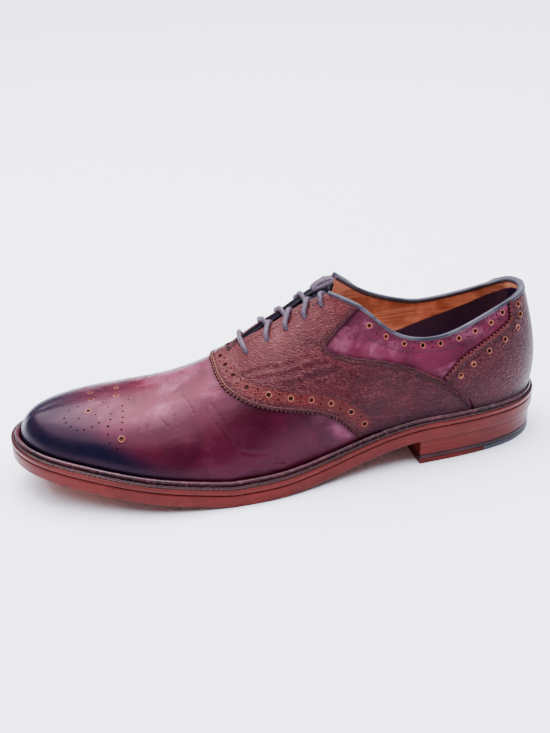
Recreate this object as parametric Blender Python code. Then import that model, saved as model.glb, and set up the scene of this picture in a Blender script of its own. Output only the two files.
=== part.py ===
"""Plain-toe saddle oxford with brogueing, left shoe, real size in metres.

The toe points to -Y, the wearer's left (the outer side of this shoe) to +X, and the floor is z = 0.
Every curved piece is worked out from one form, the last: a feather line in plan, a top line and a
wall between them.  A place on the last is a pair (turn, rise).  turn runs round the shoe, 0 at the
heel, 1 at the toe tip along the outer side, then on to 2 at the heel again along the inner side.
rise is 0 at the feather line and 1 at the collar, the facing edge or the crest of the vamp.
"""

import bpy
import bmesh
import math
import numpy as np
from mathutils import Vector

for stale in list(bpy.data.objects):
    bpy.data.objects.remove(stale, do_unlink=True)

# The last, metres.
LAST_LENGTH = 0.298
BALL_WIDTH = 0.098
BACK_HEIGHT = 0.0885
INSTEP_HEIGHT = 0.100

# The sole, metres.
HEEL_STACK = 0.0155
TOE_SPRING = 0.0185
OUTSOLE_THICKNESS = 0.0074
WELT_THICKNESS = 0.0030
BEAD_RISE = 0.0027
BEAD_WIDTH = 0.0026
BEAD_GROOVE = 0.0006
EDGE_HEEL = 0.0058
EDGE_BALL = 0.0077
EDGE_TOE = 0.0055
SOLE_ROUNDING = 0.0007
HEEL_INSET = 0.0015
LIFT_THICKNESS = 0.0028
HEEL_LAYER_THICKNESS = 0.0025
INSOLE_THICKNESS = 0.0032

# Leather and clearances, metres.
UPPER_WALL = 0.0020
OVERLAY_THICKNESS = 0.0010
BINDING_DIAMETER = 0.0028
TONGUE_THICKNESS = 0.0020
LACE_DIAMETER = 0.0026
SEAT_GAP = 0.0003
SOFT_GAP = 0.0005

# Places along the sole, shares of LAST_LENGTH from the heel.
SEAT_FRONT = 0.235
BALL_BACK = 0.580
BALL_FRONT = 0.636
HEEL_BREAST = 0.263
LIFT_SPLIT = 0.125

# How the waist and the toe spring bend, as powers.
WAIST_EASE = 1.2
TOE_EASE = 1.08

# Feather line. turn | outer side: share of LAST_LENGTH, of BALL_WIDTH | inner side: the same.
FEATHER = np.array([
    (0.000, 0.000, 0.000, 0.000, 0.000),
    (0.070, 0.035, 0.210, 0.035, 0.225),
    (0.145, 0.110, 0.315, 0.110, 0.315),
    (0.270, 0.250, 0.370, 0.240, 0.310),
    (0.425, 0.420, 0.415, 0.400, 0.270),
    (0.550, 0.560, 0.490, 0.550, 0.340),
    (0.660, 0.680, 0.500, 0.690, 0.455),
    (0.760, 0.790, 0.455, 0.800, 0.475),
    (0.855, 0.890, 0.335, 0.900, 0.390),
    (0.930, 0.963, 0.205, 0.972, 0.225),
    (1.000, 1.000, 0.000, 1.000, 0.000),
])

# Collar. turn | outer: share of LAST_LENGTH, BALL_WIDTH, BACK_HEIGHT | inner: the same.
COLLAR = np.array([
    (0.000, 0.016, 0.000, 1.000, 0.016, 0.000, 1.000),
    (0.035, 0.022, 0.075, 0.994, 0.021, 0.075, 0.992),
    (0.070, 0.042, 0.138, 0.972, 0.036, 0.138, 0.966),
    (0.145, 0.105, 0.215, 0.912, 0.092, 0.218, 0.890),
    (0.210, 0.175, 0.262, 0.838, 0.170, 0.265, 0.832),
    (0.270, 0.235, 0.280, 0.812, 0.225, 0.270, 0.842),
    (0.340, 0.315, 0.272, 0.905, 0.310, 0.222, 0.955),
    (0.385, 0.365, 0.215, 1.050, 0.350, 0.160, 1.055),
    (0.420, 0.410, 0.065, 1.100, 0.385, 0.080, 1.155),
])

# Facing edges, between the collar's last row and the crest's first. Columns as for the crest, outer | inner.
FACING = np.array([
    (0.465, 0.462, 0.050, 0.915, 0.455, 0.055, 0.922),
    (0.500, 0.500, 0.050, 0.850, 0.497, 0.050, 0.845),
    (0.540, 0.545, 0.042, 0.780, 0.540, 0.042, 0.780),
])

# Crest of the vamp, from the throat to the toe. turn | share of LAST_LENGTH, BALL_WIDTH, INSTEP_HEIGHT.
CREST = np.array([
    (0.580, 0.592, 0.000, 0.700),
    (0.610, 0.625, -0.010, 0.645),
    (0.660, 0.690, -0.020, 0.560),
    (0.710, 0.745, -0.025, 0.516),
    (0.760, 0.795, -0.025, 0.497),
    (0.810, 0.845, -0.020, 0.490),
    (0.860, 0.888, -0.015, 0.482),
    (0.910, 0.922, -0.010, 0.470),
    (0.955, 0.942, -0.005, 0.458),
    (1.000, 0.953, 0.000, 0.450),
])

FACING_TOP = COLLAR[-1, 0]
THROAT = CREST[0, 0]

# Wall between feather and top, as the two handles of a cubic curve.
# turn | outer: bulge, rise, lean, drop | inner: the same.
# bulge and lean are shares of BALL_WIDTH, rise and drop of the wall's own height.
WALL = np.array([
    (0.000, 0.075, 0.35, 0.060, 0.35, 0.075, 0.35, 0.060, 0.35),
    (0.070, 0.070, 0.35, 0.070, 0.35, 0.070, 0.35, 0.070, 0.35),
    (0.145, 0.055, 0.35, 0.090, 0.38, 0.055, 0.35, 0.090, 0.38),
    (0.270, 0.035, 0.38, 0.080, 0.35, 0.050, 0.38, 0.070, 0.35),
    (0.420, 0.025, 0.45, 0.200, 0.25, 0.060, 0.45, 0.160, 0.25),
    (0.500, 0.030, 0.48, 0.260, 0.12, 0.060, 0.45, 0.200, 0.12),
    (0.580, 0.035, 0.50, 0.280, 0.05, 0.045, 0.50, 0.240, 0.05),
    (0.660, 0.035, 0.50, 0.300, 0.02, 0.030, 0.50, 0.260, 0.02),
    (0.760, 0.030, 0.55, 0.280, 0.00, 0.030, 0.55, 0.260, 0.00),
    (0.855, 0.025, 0.58, 0.220, 0.00, 0.025, 0.58, 0.220, 0.00),
    (0.930, 0.015, 0.60, 0.150, 0.00, 0.015, 0.60, 0.150, 0.00),
    (1.000, 0.010, 0.62, 0.070, 0.00, 0.010, 0.62, 0.070, 0.00),
])

# Places where the sole's edge changes its width, in turns: heel, waist, ball, toe corner, toe tip.
EDGE_PLACES = np.array([0.0, 0.35, 0.55, 0.85, 1.0])
EDGE_WIDTHS = np.array([EDGE_HEEL, EDGE_HEEL, EDGE_BALL, EDGE_BALL, EDGE_TOE])

# Small step in turn or rise that a direction is read from, and the highest rise where it is read.
STEP = 1e-4
TOP_RISE = 0.998


def smooth(knots, rows, at, loop=0.0):
    """Curve of even curvature through rows at knots, read at 'at'; loop is a closed one's period."""
    knots = np.asarray(knots, float)
    rows = np.asarray(rows, float)
    at = np.atleast_1d(np.asarray(at, float))
    if loop:
        at = at % loop
        knots = np.concatenate([knots[-4:] - loop, knots, knots[:4] + loop])
        rows = np.concatenate([rows[-4:], rows, rows[:4]])
    gap = np.diff(knots)
    slope = np.diff(rows, axis=0) / gap[:, None]
    system = np.eye(len(knots))
    pull = np.zeros_like(rows)
    for i in range(1, len(knots) - 1):
        system[i, i - 1:i + 2] = gap[i - 1], 2 * (gap[i - 1] + gap[i]), gap[i]
        pull[i] = 6 * (slope[i] - slope[i - 1])
    bend = np.linalg.solve(system, pull)
    span = np.clip(np.searchsorted(knots, at) - 1, 0, len(gap) - 1)
    far = ((at - knots[span]) / gap[span])[:, None]
    near = 1 - far
    arch = (near ** 3 - near) * bend[span] + (far ** 3 - far) * bend[span + 1]
    return near * rows[span] + far * rows[span + 1] + arch * (gap[span] ** 2)[:, None] / 6


def both_sides(table, width):
    """Rows of a two-sided table in one run of signed turns, inner side first, each row 'width' numbers."""
    inner = table[::-1]
    outer = table[table[:, 0] > 0] if table[0, 0] == 0 else table
    knots = np.concatenate([-inner[:, 0], outer[:, 0]])
    rows = np.concatenate([inner[:, 1 + width:], outer[:, 1:1 + width]])
    return knots, rows


def signed(turn):
    """Turn as -1..1: positive on the outer side, negative on the inner one."""
    turn = np.atleast_1d(np.asarray(turn, float)) % 2.0
    return np.where(turn > 1, turn - 2, turn)


def feather_shares(turn):
    """Feather line in plan as shares of the last's length and ball width."""
    inner = FEATHER[-2:0:-1]
    knots = np.concatenate([FEATHER[:, 0], 2 - inner[:, 0]])
    rows = np.concatenate([FEATHER[:, 1:3], inner[:, 3:5] * (1, -1)])
    return smooth(knots, rows, turn, loop=2.0)


def edge_width(turn):
    """Distance from the feather line out to the sole's edge."""
    return np.interp(np.abs(signed(turn)), EDGE_PLACES, EDGE_WIDTHS)


def plan_raw(turn, out=0.0):
    """Plan point of the feather line moved outwards by 'out', before it is centred."""

    def line(at):
        return feather_shares(at)[:, ::-1] * (BALL_WIDTH, -LAST_LENGTH)

    way = line(turn + STEP) - line(turn - STEP)
    way /= np.linalg.norm(way, axis=1)[:, None]
    aside = np.column_stack([-way[:, 1], way[:, 0]])
    return line(turn) + aside * np.reshape(out, (-1, 1)), aside


ROUND = np.linspace(0.0, 2.0, 721)[:-1]
EDGE_LINE = plan_raw(ROUND, edge_width(ROUND))[0]
CENTRE = (EDGE_LINE.min(axis=0) + EDGE_LINE.max(axis=0)) / 2


def plan(turn, out=0.0):
    """Plan point and outward direction of the feather line, moved outwards by 'out'."""
    point, aside = plan_raw(np.atleast_1d(turn), out)
    return point - CENTRE, aside


def along(y):
    """Share of LAST_LENGTH from the heel at the place y."""
    return -(y + CENTRE[1]) / LAST_LENGTH


def tread(y):
    """Height of the outsole's underside: heel seat, waist, flat ball, toe spring."""
    s = along(y)
    back = np.clip((BALL_BACK - s) / (BALL_BACK - SEAT_FRONT), 0, 1)
    front = np.clip((s - BALL_FRONT) / (1 - BALL_FRONT), 0, None)
    return HEEL_STACK * (back * back * (3 - 2 * back)) ** WAIST_EASE + TOE_SPRING * front ** TOE_EASE


def sole_top(y):
    """Height of the outsole's top."""
    return tread(y) + OUTSOLE_THICKNESS


def feather(turn):
    """Foot of the upper's outer face, and the outward direction there."""
    point, aside = plan(turn)
    z = sole_top(point[:, 1]) + SEAT_GAP
    return np.column_stack([point, z]), np.column_stack([aside, 0 * z])


def top_line(turn):
    """Collar, facing edge or crest, by turn."""
    t = signed(turn)
    side = np.where(t < 0, -1.0, 1.0)
    knots, rows = both_sides(COLLAR, 3)
    rows = rows * (LAST_LENGTH, BALL_WIDTH, BACK_HEIGHT)
    line = smooth(knots, rows, t)
    corner = COLLAR[-1, 1:].reshape(2, 3) * (LAST_LENGTH, BALL_WIDTH, BACK_HEIGHT)
    edges = FACING[:, 1:].reshape(-1, 2, 3) * (LAST_LENGTH, BALL_WIDTH, INSTEP_HEIGHT)
    throat = CREST[0, 1:] * (LAST_LENGTH, BALL_WIDTH, INSTEP_HEIGHT)
    places = np.concatenate([[FACING_TOP], FACING[:, 0], [THROAT]])
    for number, way in ((0, 1.0), (1, -1.0)):
        rows = np.vstack([corner[number], edges[:, number], throat])
        here = (side == way) & (np.abs(t) > FACING_TOP)
        line[here] = smooth(places, rows, np.abs(t[here]))
    here = np.abs(t) >= THROAT
    crest = smooth(CREST[:, 0], CREST[:, 1:] * (LAST_LENGTH, BALL_WIDTH, INSTEP_HEIGHT), np.abs(t))
    across = np.where(here, crest[:, 1], line[:, 1] * side)
    s = np.where(here, crest[:, 0], line[:, 0])
    z = np.where(here, crest[:, 2], line[:, 2])
    return np.column_stack([across - CENTRE[0], -s - CENTRE[1], z])


def handles(turn):
    """Bulge, rise, lean and drop of the wall's two handles."""
    knots, rows = both_sides(WALL, 4)
    return smooth(knots, rows, signed(turn))


def skin(turn, rise):
    """Outer face of the upper."""
    turn, rise = np.broadcast_arrays(np.asarray(turn, float), np.asarray(rise, float))
    shape = turn.shape
    turn, w = turn.ravel(), rise.ravel()[:, None]
    foot, aside = feather(turn)
    top = top_line(turn)
    h = handles(turn)
    height = (top[:, 2] - foot[:, 2])[:, None]
    up = np.array([0.0, 0.0, 1.0])
    low = foot + aside * h[:, 0:1] * BALL_WIDTH + up * h[:, 1:2] * height
    high = top + aside * h[:, 2:3] * BALL_WIDTH - up * h[:, 3:4] * height
    face = (1 - w) ** 3 * foot + 3 * (1 - w) ** 2 * w * low + 3 * (1 - w) * w ** 2 * high + w ** 3 * top
    return face.reshape(shape + (3,))


def facing_out(turn, rise):
    """Unit direction out of the upper's outer face."""
    turn, rise = np.broadcast_arrays(np.asarray(turn, float), np.asarray(rise, float))
    held = np.minimum(rise, TOP_RISE)

    def raw(at):
        round_way = skin(at + STEP, held) - skin(at - STEP, held)
        up_way = skin(at, held + STEP) - skin(at, held - STEP)
        way = np.cross(up_way, round_way)
        return way / np.linalg.norm(way, axis=-1)[..., None]

    way = raw(turn)
    crest = (rise >= 1.0) & (np.abs(signed(turn.ravel()).reshape(turn.shape)) >= THROAT)
    way = np.where(crest[..., None], way + raw(2.0 - turn), way)
    return way / np.linalg.norm(way, axis=-1)[..., None]


def skin_at(turn, rise, lift):
    """Point of the form that lies 'lift' outside the upper's outer face."""
    return skin(turn, rise) + facing_out(turn, rise) * lift


def clear_rise(turn, height):
    """Rise at which the wall stands 'height' above its foot."""
    turn = np.asarray(turn, float)
    tries = np.linspace(0.0, 0.5, 51)
    z = skin(turn[..., None], tries)[..., 2]
    above = z - z[..., :1]
    found = [np.interp(height, row, tries) for row in above.reshape(-1, len(tries))]
    return np.reshape(found, turn.shape)


def splay(turn):
    """How far the wall leans out per metre of height at its foot."""
    h = handles(turn)
    height = top_line(turn)[:, 2] - feather(turn)[0][:, 2]
    return h[:, 0] * BALL_WIDTH / (h[:, 1] * height)


# Saddle, the same on both sides. turn | rise of its front edge, from the rear foot to the throat.
SADDLE_FRONT = np.array([
    (0.197, 0.000),
    (0.400, 0.000),
    (0.410, 0.120),
    (0.440, 0.220),
    (0.480, 0.310),
    (0.530, 0.385),
    (0.570, 0.470),
    (0.600, 0.590),
    (0.612, 0.680),
    (0.618, 0.780),
    (0.620, 0.860),
])

# Quarter panel that the saddle leaves bare. turn | rise of its lower edge, from the rear to its tip.
PANEL_TIP = 0.450
PANEL_LOWER = np.array([
    (0.197, 0.155),
    (0.214, 0.330),
    (0.234, 0.450),
    (0.254, 0.555),
    (0.290, 0.675),
    (0.328, 0.715),
    (0.365, 0.665),
    (0.400, 0.600),
    (0.424, 0.588),
    (0.440, 0.615),
    (PANEL_TIP, 0.675),
])
PANEL_FRONT = np.array([
    (0.384, 1.000),
    (0.402, 0.865),
    (0.425, 0.745),
    (0.440, 0.705),
    (PANEL_TIP, 0.675),
])
SADDLE_REAR_TURNS = (0.225, 0.244, 0.272, 0.309, 0.346, 0.382)
SADDLE_FRONT_TURNS = (0.465, 0.505, 0.550, 0.585)
SADDLE_MIDDLE = (0.800, 0.930)
SADDLE_LOW_ROWS = 6
SADDLE_HIGH_ROWS = 5

# Counter, the same on both sides. turn | rise of its lower edge, of its upper edge.
COUNTER = np.array([
    (0.000, 0.000, 1.000),
    (0.098, 0.000, 1.000),
    (0.104, 0.000, 0.880),
    (0.120, 0.000, 0.820),
    (0.155, 0.000, 0.790),
    (0.193, 0.140, 0.740),
    (0.210, 0.330, 0.695),
    (0.230, 0.450, 0.605),
    (0.242, 0.515, 0.530),
])
COUNTER_STEPS = (6, 1, 1, 2, 2, 1, 1, 1)
COUNTER_ROWS = 9

# Eyelets on one facing: turn, rise, from the throat up.
EYELETS = np.array([
    (0.566, 0.860),
    (0.534, 0.868),
    (0.501, 0.878),
    (0.467, 0.886),
    (0.438, 0.895),
])

# Tongue on one side: turns from its top edge to its foot, rises from its free edge to the centre line.
TONGUE_ENDS = (FACING_TOP + 0.006, 0.66)
TONGUE_RISES = np.array([0.77, 0.84, 0.90, 0.95, 0.985])

# Loop of lace over the top row, in lace diameters from that row's middle: back, outwards, up.
KNOT = np.array([
    (-1.75, 0.45, 0.95),
    (-0.40, 0.25, 1.55),
    (1.55, 0.30, 1.80),
    (3.10, 0.90, 1.40),
    (3.15, 1.75, 0.75),
    (1.70, 1.75, 0.75),
])

# The rolled bead on the welt, and how high an overlay's foot stands over it.
BEAD_RADIUS = BEAD_WIDTH / 2
BEAD_CENTRE = WELT_THICKNESS + BEAD_RISE - BEAD_RADIUS
OVERLAY_FOOT = WELT_THICKNESS + BEAD_RISE + SEAT_GAP
CREST_RISE = 0.994

# Turn where the sole's flat stretch ends; it begins at the throat.
BALL_TURN = 0.612

SHELL_ROWS = 12
TUBE_SIDES = 8


def paint(name, colour, roughness, metallic=0.0):
    """Material with one plain finish."""
    material = bpy.data.materials.new(name)
    material.use_nodes = True
    shader = material.node_tree.nodes["Principled BSDF"]
    shader.inputs["Base Color"].default_value = (*colour, 1.0)
    shader.inputs["Roughness"].default_value = roughness
    shader.inputs["Metallic"].default_value = metallic
    return material


def group(name):
    """New collection in the scene."""
    collection = bpy.data.collections.new(name)
    bpy.context.scene.collection.children.link(collection)
    return collection


def solid(name, points, faces, material, collection):
    """One closed mesh object: doubled points merged, flat faces dropped, faces turned outwards."""
    faces = [tuple(dict.fromkeys(face)) for face in faces]
    mesh = bpy.data.meshes.new(name)
    mesh.from_pydata([tuple(point) for point in points], [], [face for face in faces if len(face) > 2])
    form = bmesh.new()
    form.from_mesh(mesh)
    bmesh.ops.remove_doubles(form, verts=form.verts, dist=2e-6)
    bmesh.ops.dissolve_degenerate(form, edges=form.edges, dist=1e-6)
    bmesh.ops.recalc_face_normals(form, faces=form.faces)
    form.to_mesh(mesh)
    form.free()
    mesh.materials.append(material)
    thing = bpy.data.objects.new(name, mesh)
    collection.objects.link(thing)
    return thing


def sheet_faces(numbers, turned=False):
    """Four-sided faces of a grid of point numbers."""
    a, b, c, d = numbers[:-1, :-1], numbers[1:, :-1], numbers[1:, 1:], numbers[:-1, 1:]
    order = (d, c, b, a) if turned else (a, b, c, d)
    return np.stack(order, axis=-1).reshape(-1, 4).tolist()


def slab(name, outside, inside, material, collection):
    """Solid between two grids of points of one size, closed along the four edges."""
    rows, columns = outside.shape[:2]
    outer = np.arange(rows * columns).reshape(rows, columns)
    inner = outer + rows * columns
    faces = sheet_faces(outer) + sheet_faces(inner, turned=True)
    rim = np.concatenate([outer[0], outer[1:, -1], outer[-1, -2::-1], outer[-2::-1, 0]])
    faces += sheet_faces(np.stack([rim, rim + rows * columns]))
    points = np.concatenate([outside.reshape(-1, 3), inside.reshape(-1, 3)])
    return solid(name, points, faces, material, collection)


def stack(name, rings, material, collection):
    """Solid of rings laid one on the other, each running from one side round to the other."""
    count = len(rings[0])
    numbers = np.arange(len(rings) * count).reshape(len(rings), count)
    round_about = np.concatenate([numbers, numbers[:, :1]], axis=1)
    faces = sheet_faces(round_about)
    half = count // 2 + 1
    for layer, turned in ((numbers[0], False), (numbers[-1], True)):
        across = np.stack([layer[:half], layer[::-1][:half]])
        faces += sheet_faces(across, turned)
    return solid(name, np.concatenate(rings), faces, material, collection)


def tube(name, path, diameter, material, collection, closed=False):
    """Round cord along a path of points, its ends closed."""
    curve = bpy.data.curves.new(name, "CURVE")
    curve.dimensions = "3D"
    curve.bevel_depth = diameter / 2
    curve.bevel_resolution = TUBE_SIDES // 4
    curve.use_fill_caps = True
    spline = curve.splines.new("POLY")
    spline.points.add(len(path) - 1)
    for point, place in zip(spline.points, path):
        point.co = (*place, 1.0)
    spline.use_cyclic_u = closed
    guide = bpy.data.objects.new(name + "_guide", curve)
    collection.objects.link(guide)
    bpy.context.view_layer.update()
    mesh = bpy.data.meshes.new_from_object(guide)
    bpy.data.objects.remove(guide, do_unlink=True)
    points = [vertex.co[:] for vertex in mesh.vertices]
    faces = [face.vertices[:] for face in mesh.polygons]
    return solid(name, points, faces, material, collection)


def bow_between(points, count):
    """Rounded path through a few points."""
    points = np.asarray(points, float)
    reach = np.concatenate([[0.0], np.cumsum(np.linalg.norm(np.diff(points, axis=0), axis=1))])
    return smooth(reach, points, np.linspace(0.0, reach[-1], count))


def union(first, others):
    """Join closed solids that cross each other into one."""
    for other in others:
        joint = first.modifiers.new("join", "BOOLEAN")
        joint.operation = "UNION"
        joint.solver = "EXACT"
        joint.object = other
        bpy.context.view_layer.update()
        held = first.evaluated_get(bpy.context.evaluated_depsgraph_get())
        mesh = bpy.data.meshes.new_from_object(held)
        first.modifiers.clear()
        first.data = mesh
        bpy.data.objects.remove(other, do_unlink=True)
    return first


def stations(stops, counts):
    """Turns from stop to stop, each stretch in its own number of steps."""
    parts = [np.linspace(a, b, n + 1)[:-1] for a, b, n in zip(stops[:-1], stops[1:], counts)]
    return np.concatenate(parts + [[stops[-1]]])


HALF = stations([0.0, 0.16, FACING_TOP, THROAT, BALL_TURN, 0.78, 1.0], [10, 8, 5, 1, 4, 8])
RING = np.concatenate([HALF, 2.0 - HALF[-2:0:-1]])
SIGNED = np.concatenate([-HALF[::-1], HALF[1:]])


def make_outsole(material, collection):
    """Leather outsole: its lower edge is rounded, and its top carries the welt and the upper."""
    rings = []
    for inset, height in ((SOLE_ROUNDING, 0.0), (0.0, SOLE_ROUNDING), (0.0, OUTSOLE_THICKNESS)):
        edge, _ = plan(SIGNED, edge_width(SIGNED) - inset)
        rings.append(np.column_stack([edge, tread(edge[:, 1]) + height]))
    return stack("outsole", rings, material, collection)


def welt_section(turn):
    """Points round the welt's section at one turn: distance out from the feather line, height.

    The section is a flat strip whose inner edge carries the rolled bead, with a groove outside it.
    """
    lean = splay(turn)[0]
    width = edge_width(turn)[0]
    centre = SEAT_GAP + BEAD_RADIUS + BEAD_CENTRE * lean
    points = [(SEAT_GAP, SEAT_GAP)]
    for angle in np.linspace(math.pi, 0.0, 5):
        points.append((centre + BEAD_RADIUS * math.cos(angle), BEAD_CENTRE + BEAD_RADIUS * math.sin(angle)))
    points.append((centre + BEAD_RADIUS, WELT_THICKNESS - BEAD_GROOVE))
    margin = min(centre + BEAD_RADIUS + SOLE_ROUNDING, width - 2 * SOLE_ROUNDING)
    points.append((margin, WELT_THICKNESS))
    points.append((width - SOLE_ROUNDING, WELT_THICKNESS))
    points.append((width, WELT_THICKNESS - SOLE_ROUNDING))
    points.append((width, SEAT_GAP))
    return np.array(points)


def make_welt(material, collection):
    """Welt all round the shoe."""
    rows = []
    for turn in RING:
        section = welt_section(turn)
        edge, _ = plan(np.full(len(section), turn), section[:, 0])
        rows.append(np.column_stack([edge, sole_top(edge[:, 1]) + section[:, 1]]))
    points = np.array(rows)
    numbers = np.arange(points.shape[0] * points.shape[1]).reshape(points.shape[:2])
    numbers = np.concatenate([numbers, numbers[:1]])
    numbers = np.concatenate([numbers, numbers[:, :1]], axis=1)
    return solid("welt", points.reshape(-1, 3), sheet_faces(numbers), material, collection)


def heel_line(front, inset, rear=0.0):
    """Plan line of the heel from its inner front corner to the outer one, round the back or past 'rear'."""
    dense = np.linspace(0.0, 0.5, 201)
    reach = []
    for way in (1.0, -1.0):
        edge, _ = plan(way * dense, edge_width(dense) - inset)
        reach.append(np.interp([rear, front], along(edge[:, 1]), dense))
    outer, inner = reach
    if rear:
        turns = np.concatenate([np.linspace(-inner[1], -inner[0], 5), np.linspace(outer[0], outer[1], 5)])
    else:
        turns = np.concatenate([np.linspace(-inner[1], 0.0, 13), np.linspace(0.0, outer[1], 13)[1:]])
    return plan(turns, edge_width(turns) - inset)[0]


def heel_piece(name, front, rear, low, high, material, collection):
    """Slice of the heel between two heights; with no 'high' it reaches up to the outsole."""
    line = heel_line(front, HEEL_INSET, rear)
    top = np.full(len(line), high) if high else tread(line[:, 1]) - SEAT_GAP
    rings = [np.column_stack([line, np.full(len(line), low)]), np.column_stack([line, top])]
    return stack(name, rings, material, collection)


def make_heel(leather, rubber, collection):
    """Heel from the floor up: a lift that is rubber behind and leather before, a dark layer, the block."""
    layer_low = LIFT_THICKNESS + SEAT_GAP
    layer_top = layer_low + HEEL_LAYER_THICKNESS
    split = LIFT_SPLIT + SEAT_GAP / LAST_LENGTH
    heel_piece("heel_lift_rubber", LIFT_SPLIT, 0.0, 0.0, LIFT_THICKNESS, rubber, collection)
    heel_piece("heel_lift_leather", HEEL_BREAST, split, 0.0, LIFT_THICKNESS, leather, collection)
    heel_piece("heel_layer", HEEL_BREAST, 0.0, layer_low, layer_top, rubber, collection)
    heel_piece("heel_block", HEEL_BREAST, 0.0, layer_top + SEAT_GAP, None, leather, collection)


def make_upper(material, collection):
    """Hollow upper: outer and inner face, open underneath, at the collar and along the throat."""
    rises = np.linspace(0.0, 1.0, SHELL_ROWS + 1)
    turn, rise = np.meshgrid(RING, rises, indexing="ij")
    outside = skin_at(turn, rise, 0.0)
    inside = skin_at(turn, rise, -UPPER_WALL)
    numbers = np.arange(turn.size).reshape(turn.shape)
    outer = np.concatenate([numbers, numbers[:1]])
    inner = outer + turn.size
    faces = sheet_faces(outer) + sheet_faces(inner, turned=True)
    faces += sheet_faces(np.stack([inner[:, 0], outer[:, 0]]))
    open_top = np.abs(signed(RING)) <= THROAT + 1e-6
    for i in range(len(RING)):
        j = (i + 1) % len(RING)
        if open_top[i] and open_top[j]:
            faces.append([outer[i, -1], outer[j, -1], inner[j, -1], inner[i, -1]])
    points = np.concatenate([outside.reshape(-1, 3), inside.reshape(-1, 3)])
    return solid("upper", points, faces, material, collection)


def overlay(name, blocks, material, collection):
    """Leather piece laid over the upper.

    Each block is a grid of turns and a grid of rises.  Blocks share their edges.  The piece is kept
    above the welt's bead and off the crest.
    """
    places = np.concatenate([np.stack(block, axis=-1).reshape(-1, 2) for block in blocks])
    places, number = np.unique(places.round(6), axis=0, return_inverse=True)
    faces = []
    start = 0
    for turn, _ in blocks:
        numbers = number.ravel()[start:start + turn.size].reshape(turn.shape)
        faces += sheet_faces(numbers)
        start += turn.size
    faces = [tuple(dict.fromkeys(face)) for face in faces]
    faces = [face for face in faces if len(face) > 2]
    used = {}
    for face in faces:
        for a, b in zip(face, face[1:] + face[:1]):
            used[(a, b)] = used.get((b, a), 0) + 1
    rim = [(a, b) for a, b in used if (b, a) not in used]
    count = len(places)
    faces += [tuple(n + count for n in face[::-1]) for face in faces]
    faces += [(b, a, a + count, b + count) for a, b in rim]
    turn = places[:, 0]
    rise = np.maximum(places[:, 1], clear_rise(turn, OVERLAY_FOOT))
    on_crest = np.abs(signed(turn)) > THROAT - 0.02
    rise = np.where(on_crest, np.minimum(rise, CREST_RISE), rise)
    outside = skin_at(turn, rise, SOFT_GAP + OVERLAY_THICKNESS)
    inside = skin_at(turn, rise, SOFT_GAP)
    return solid(name, np.concatenate([outside, inside]), faces, material, collection)


def between(turns, low, high, rows):
    """Grid of turns and rises between two edges, each given as its rise at every turn."""
    share = np.linspace(0.0, 1.0, rows + 1)
    rise = low[:, None] * (1 - share) + high[:, None] * share
    return turns[:, None] + 0 * share, rise


def make_saddle(name, side, material, collection):
    """Saddle of one side, from the facing down to the welt; side is 1 for the outer one, -1 for the inner."""
    lobe = PANEL_FRONT[:, 0]
    rear = np.union1d(PANEL_LOWER[:, 0], SADDLE_REAR_TURNS)
    front = np.union1d(SADDLE_FRONT[SADDLE_FRONT[:, 0] > PANEL_TIP, 0], (PANEL_TIP, *SADDLE_FRONT_TURNS))

    def low_edge(turns):
        edge = np.interp(turns, SADDLE_FRONT[:, 0], SADDLE_FRONT[:, 1])
        return np.maximum(edge, clear_rise(turns, OVERLAY_FOOT))

    middle = np.interp(front, (PANEL_TIP, THROAT, front[-1]), (PANEL_LOWER[-1, 1], *SADDLE_MIDDLE))
    blocks = [
        between(rear, low_edge(rear), np.interp(rear, *PANEL_LOWER.T), SADDLE_LOW_ROWS),
        between(front, low_edge(front), middle, SADDLE_LOW_ROWS),
        between(front, middle, np.ones(len(front)), SADDLE_HIGH_ROWS),
        between(lobe, PANEL_FRONT[:, 1], np.ones(len(lobe)), SADDLE_HIGH_ROWS),
    ]
    if side < 0:
        blocks = [(2.0 - turn, rise) for turn, rise in blocks]
    return overlay(name, blocks, material, collection)


def make_counter(material, collection):
    """Counter round the heel, both sides in one piece."""
    half = stations(COUNTER[:, 0], COUNTER_STEPS)
    turns = np.concatenate([-half[:0:-1], half])
    low = np.interp(np.abs(turns), COUNTER[:, 0], COUNTER[:, 1])
    low = np.maximum(low, clear_rise(turns, OVERLAY_FOOT))
    high = np.interp(np.abs(turns), COUNTER[:, 0], COUNTER[:, 2])
    return overlay("counter", [between(turns, low, high, COUNTER_ROWS)], material, collection)


def make_binding(material, collection):
    """Rolled edge along the collar, from one facing's corner round the heel to the other."""
    turn = SIGNED[np.abs(SIGNED) <= FACING_TOP + 1e-6]
    middle = (SOFT_GAP + OVERLAY_THICKNESS - UPPER_WALL) / 2
    rim = skin_at(turn, np.ones(len(turn)), middle)
    below = skin_at(turn, np.full(len(turn), TOP_RISE), middle)
    run = np.gradient(rim, axis=0)
    run /= np.linalg.norm(run, axis=1)[:, None]
    up = rim - below
    up -= run * (up * run).sum(axis=1)[:, None]
    up /= np.linalg.norm(up, axis=1)[:, None]
    path = rim + up * (BINDING_DIAMETER / 2 + SOFT_GAP)
    return tube("collar_binding", path, BINDING_DIAMETER, material, collection)


def make_tongue(material, collection):
    """Tongue under both facings, its foot under the vamp."""
    turns = np.linspace(*TONGUE_ENDS, 13)
    outer_turn, outer_rise = np.meshgrid(turns, TONGUE_RISES, indexing="ij")
    turn = np.concatenate([outer_turn, 2.0 - outer_turn[:, ::-1]], axis=1)
    rise = np.concatenate([outer_rise, outer_rise[:, ::-1]], axis=1)
    low = -UPPER_WALL - SOFT_GAP
    outside = skin_at(turn, rise, low)
    inside = skin_at(turn, rise, low - TONGUE_THICKNESS)
    return slab("tongue", outside, inside, material, collection)


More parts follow.
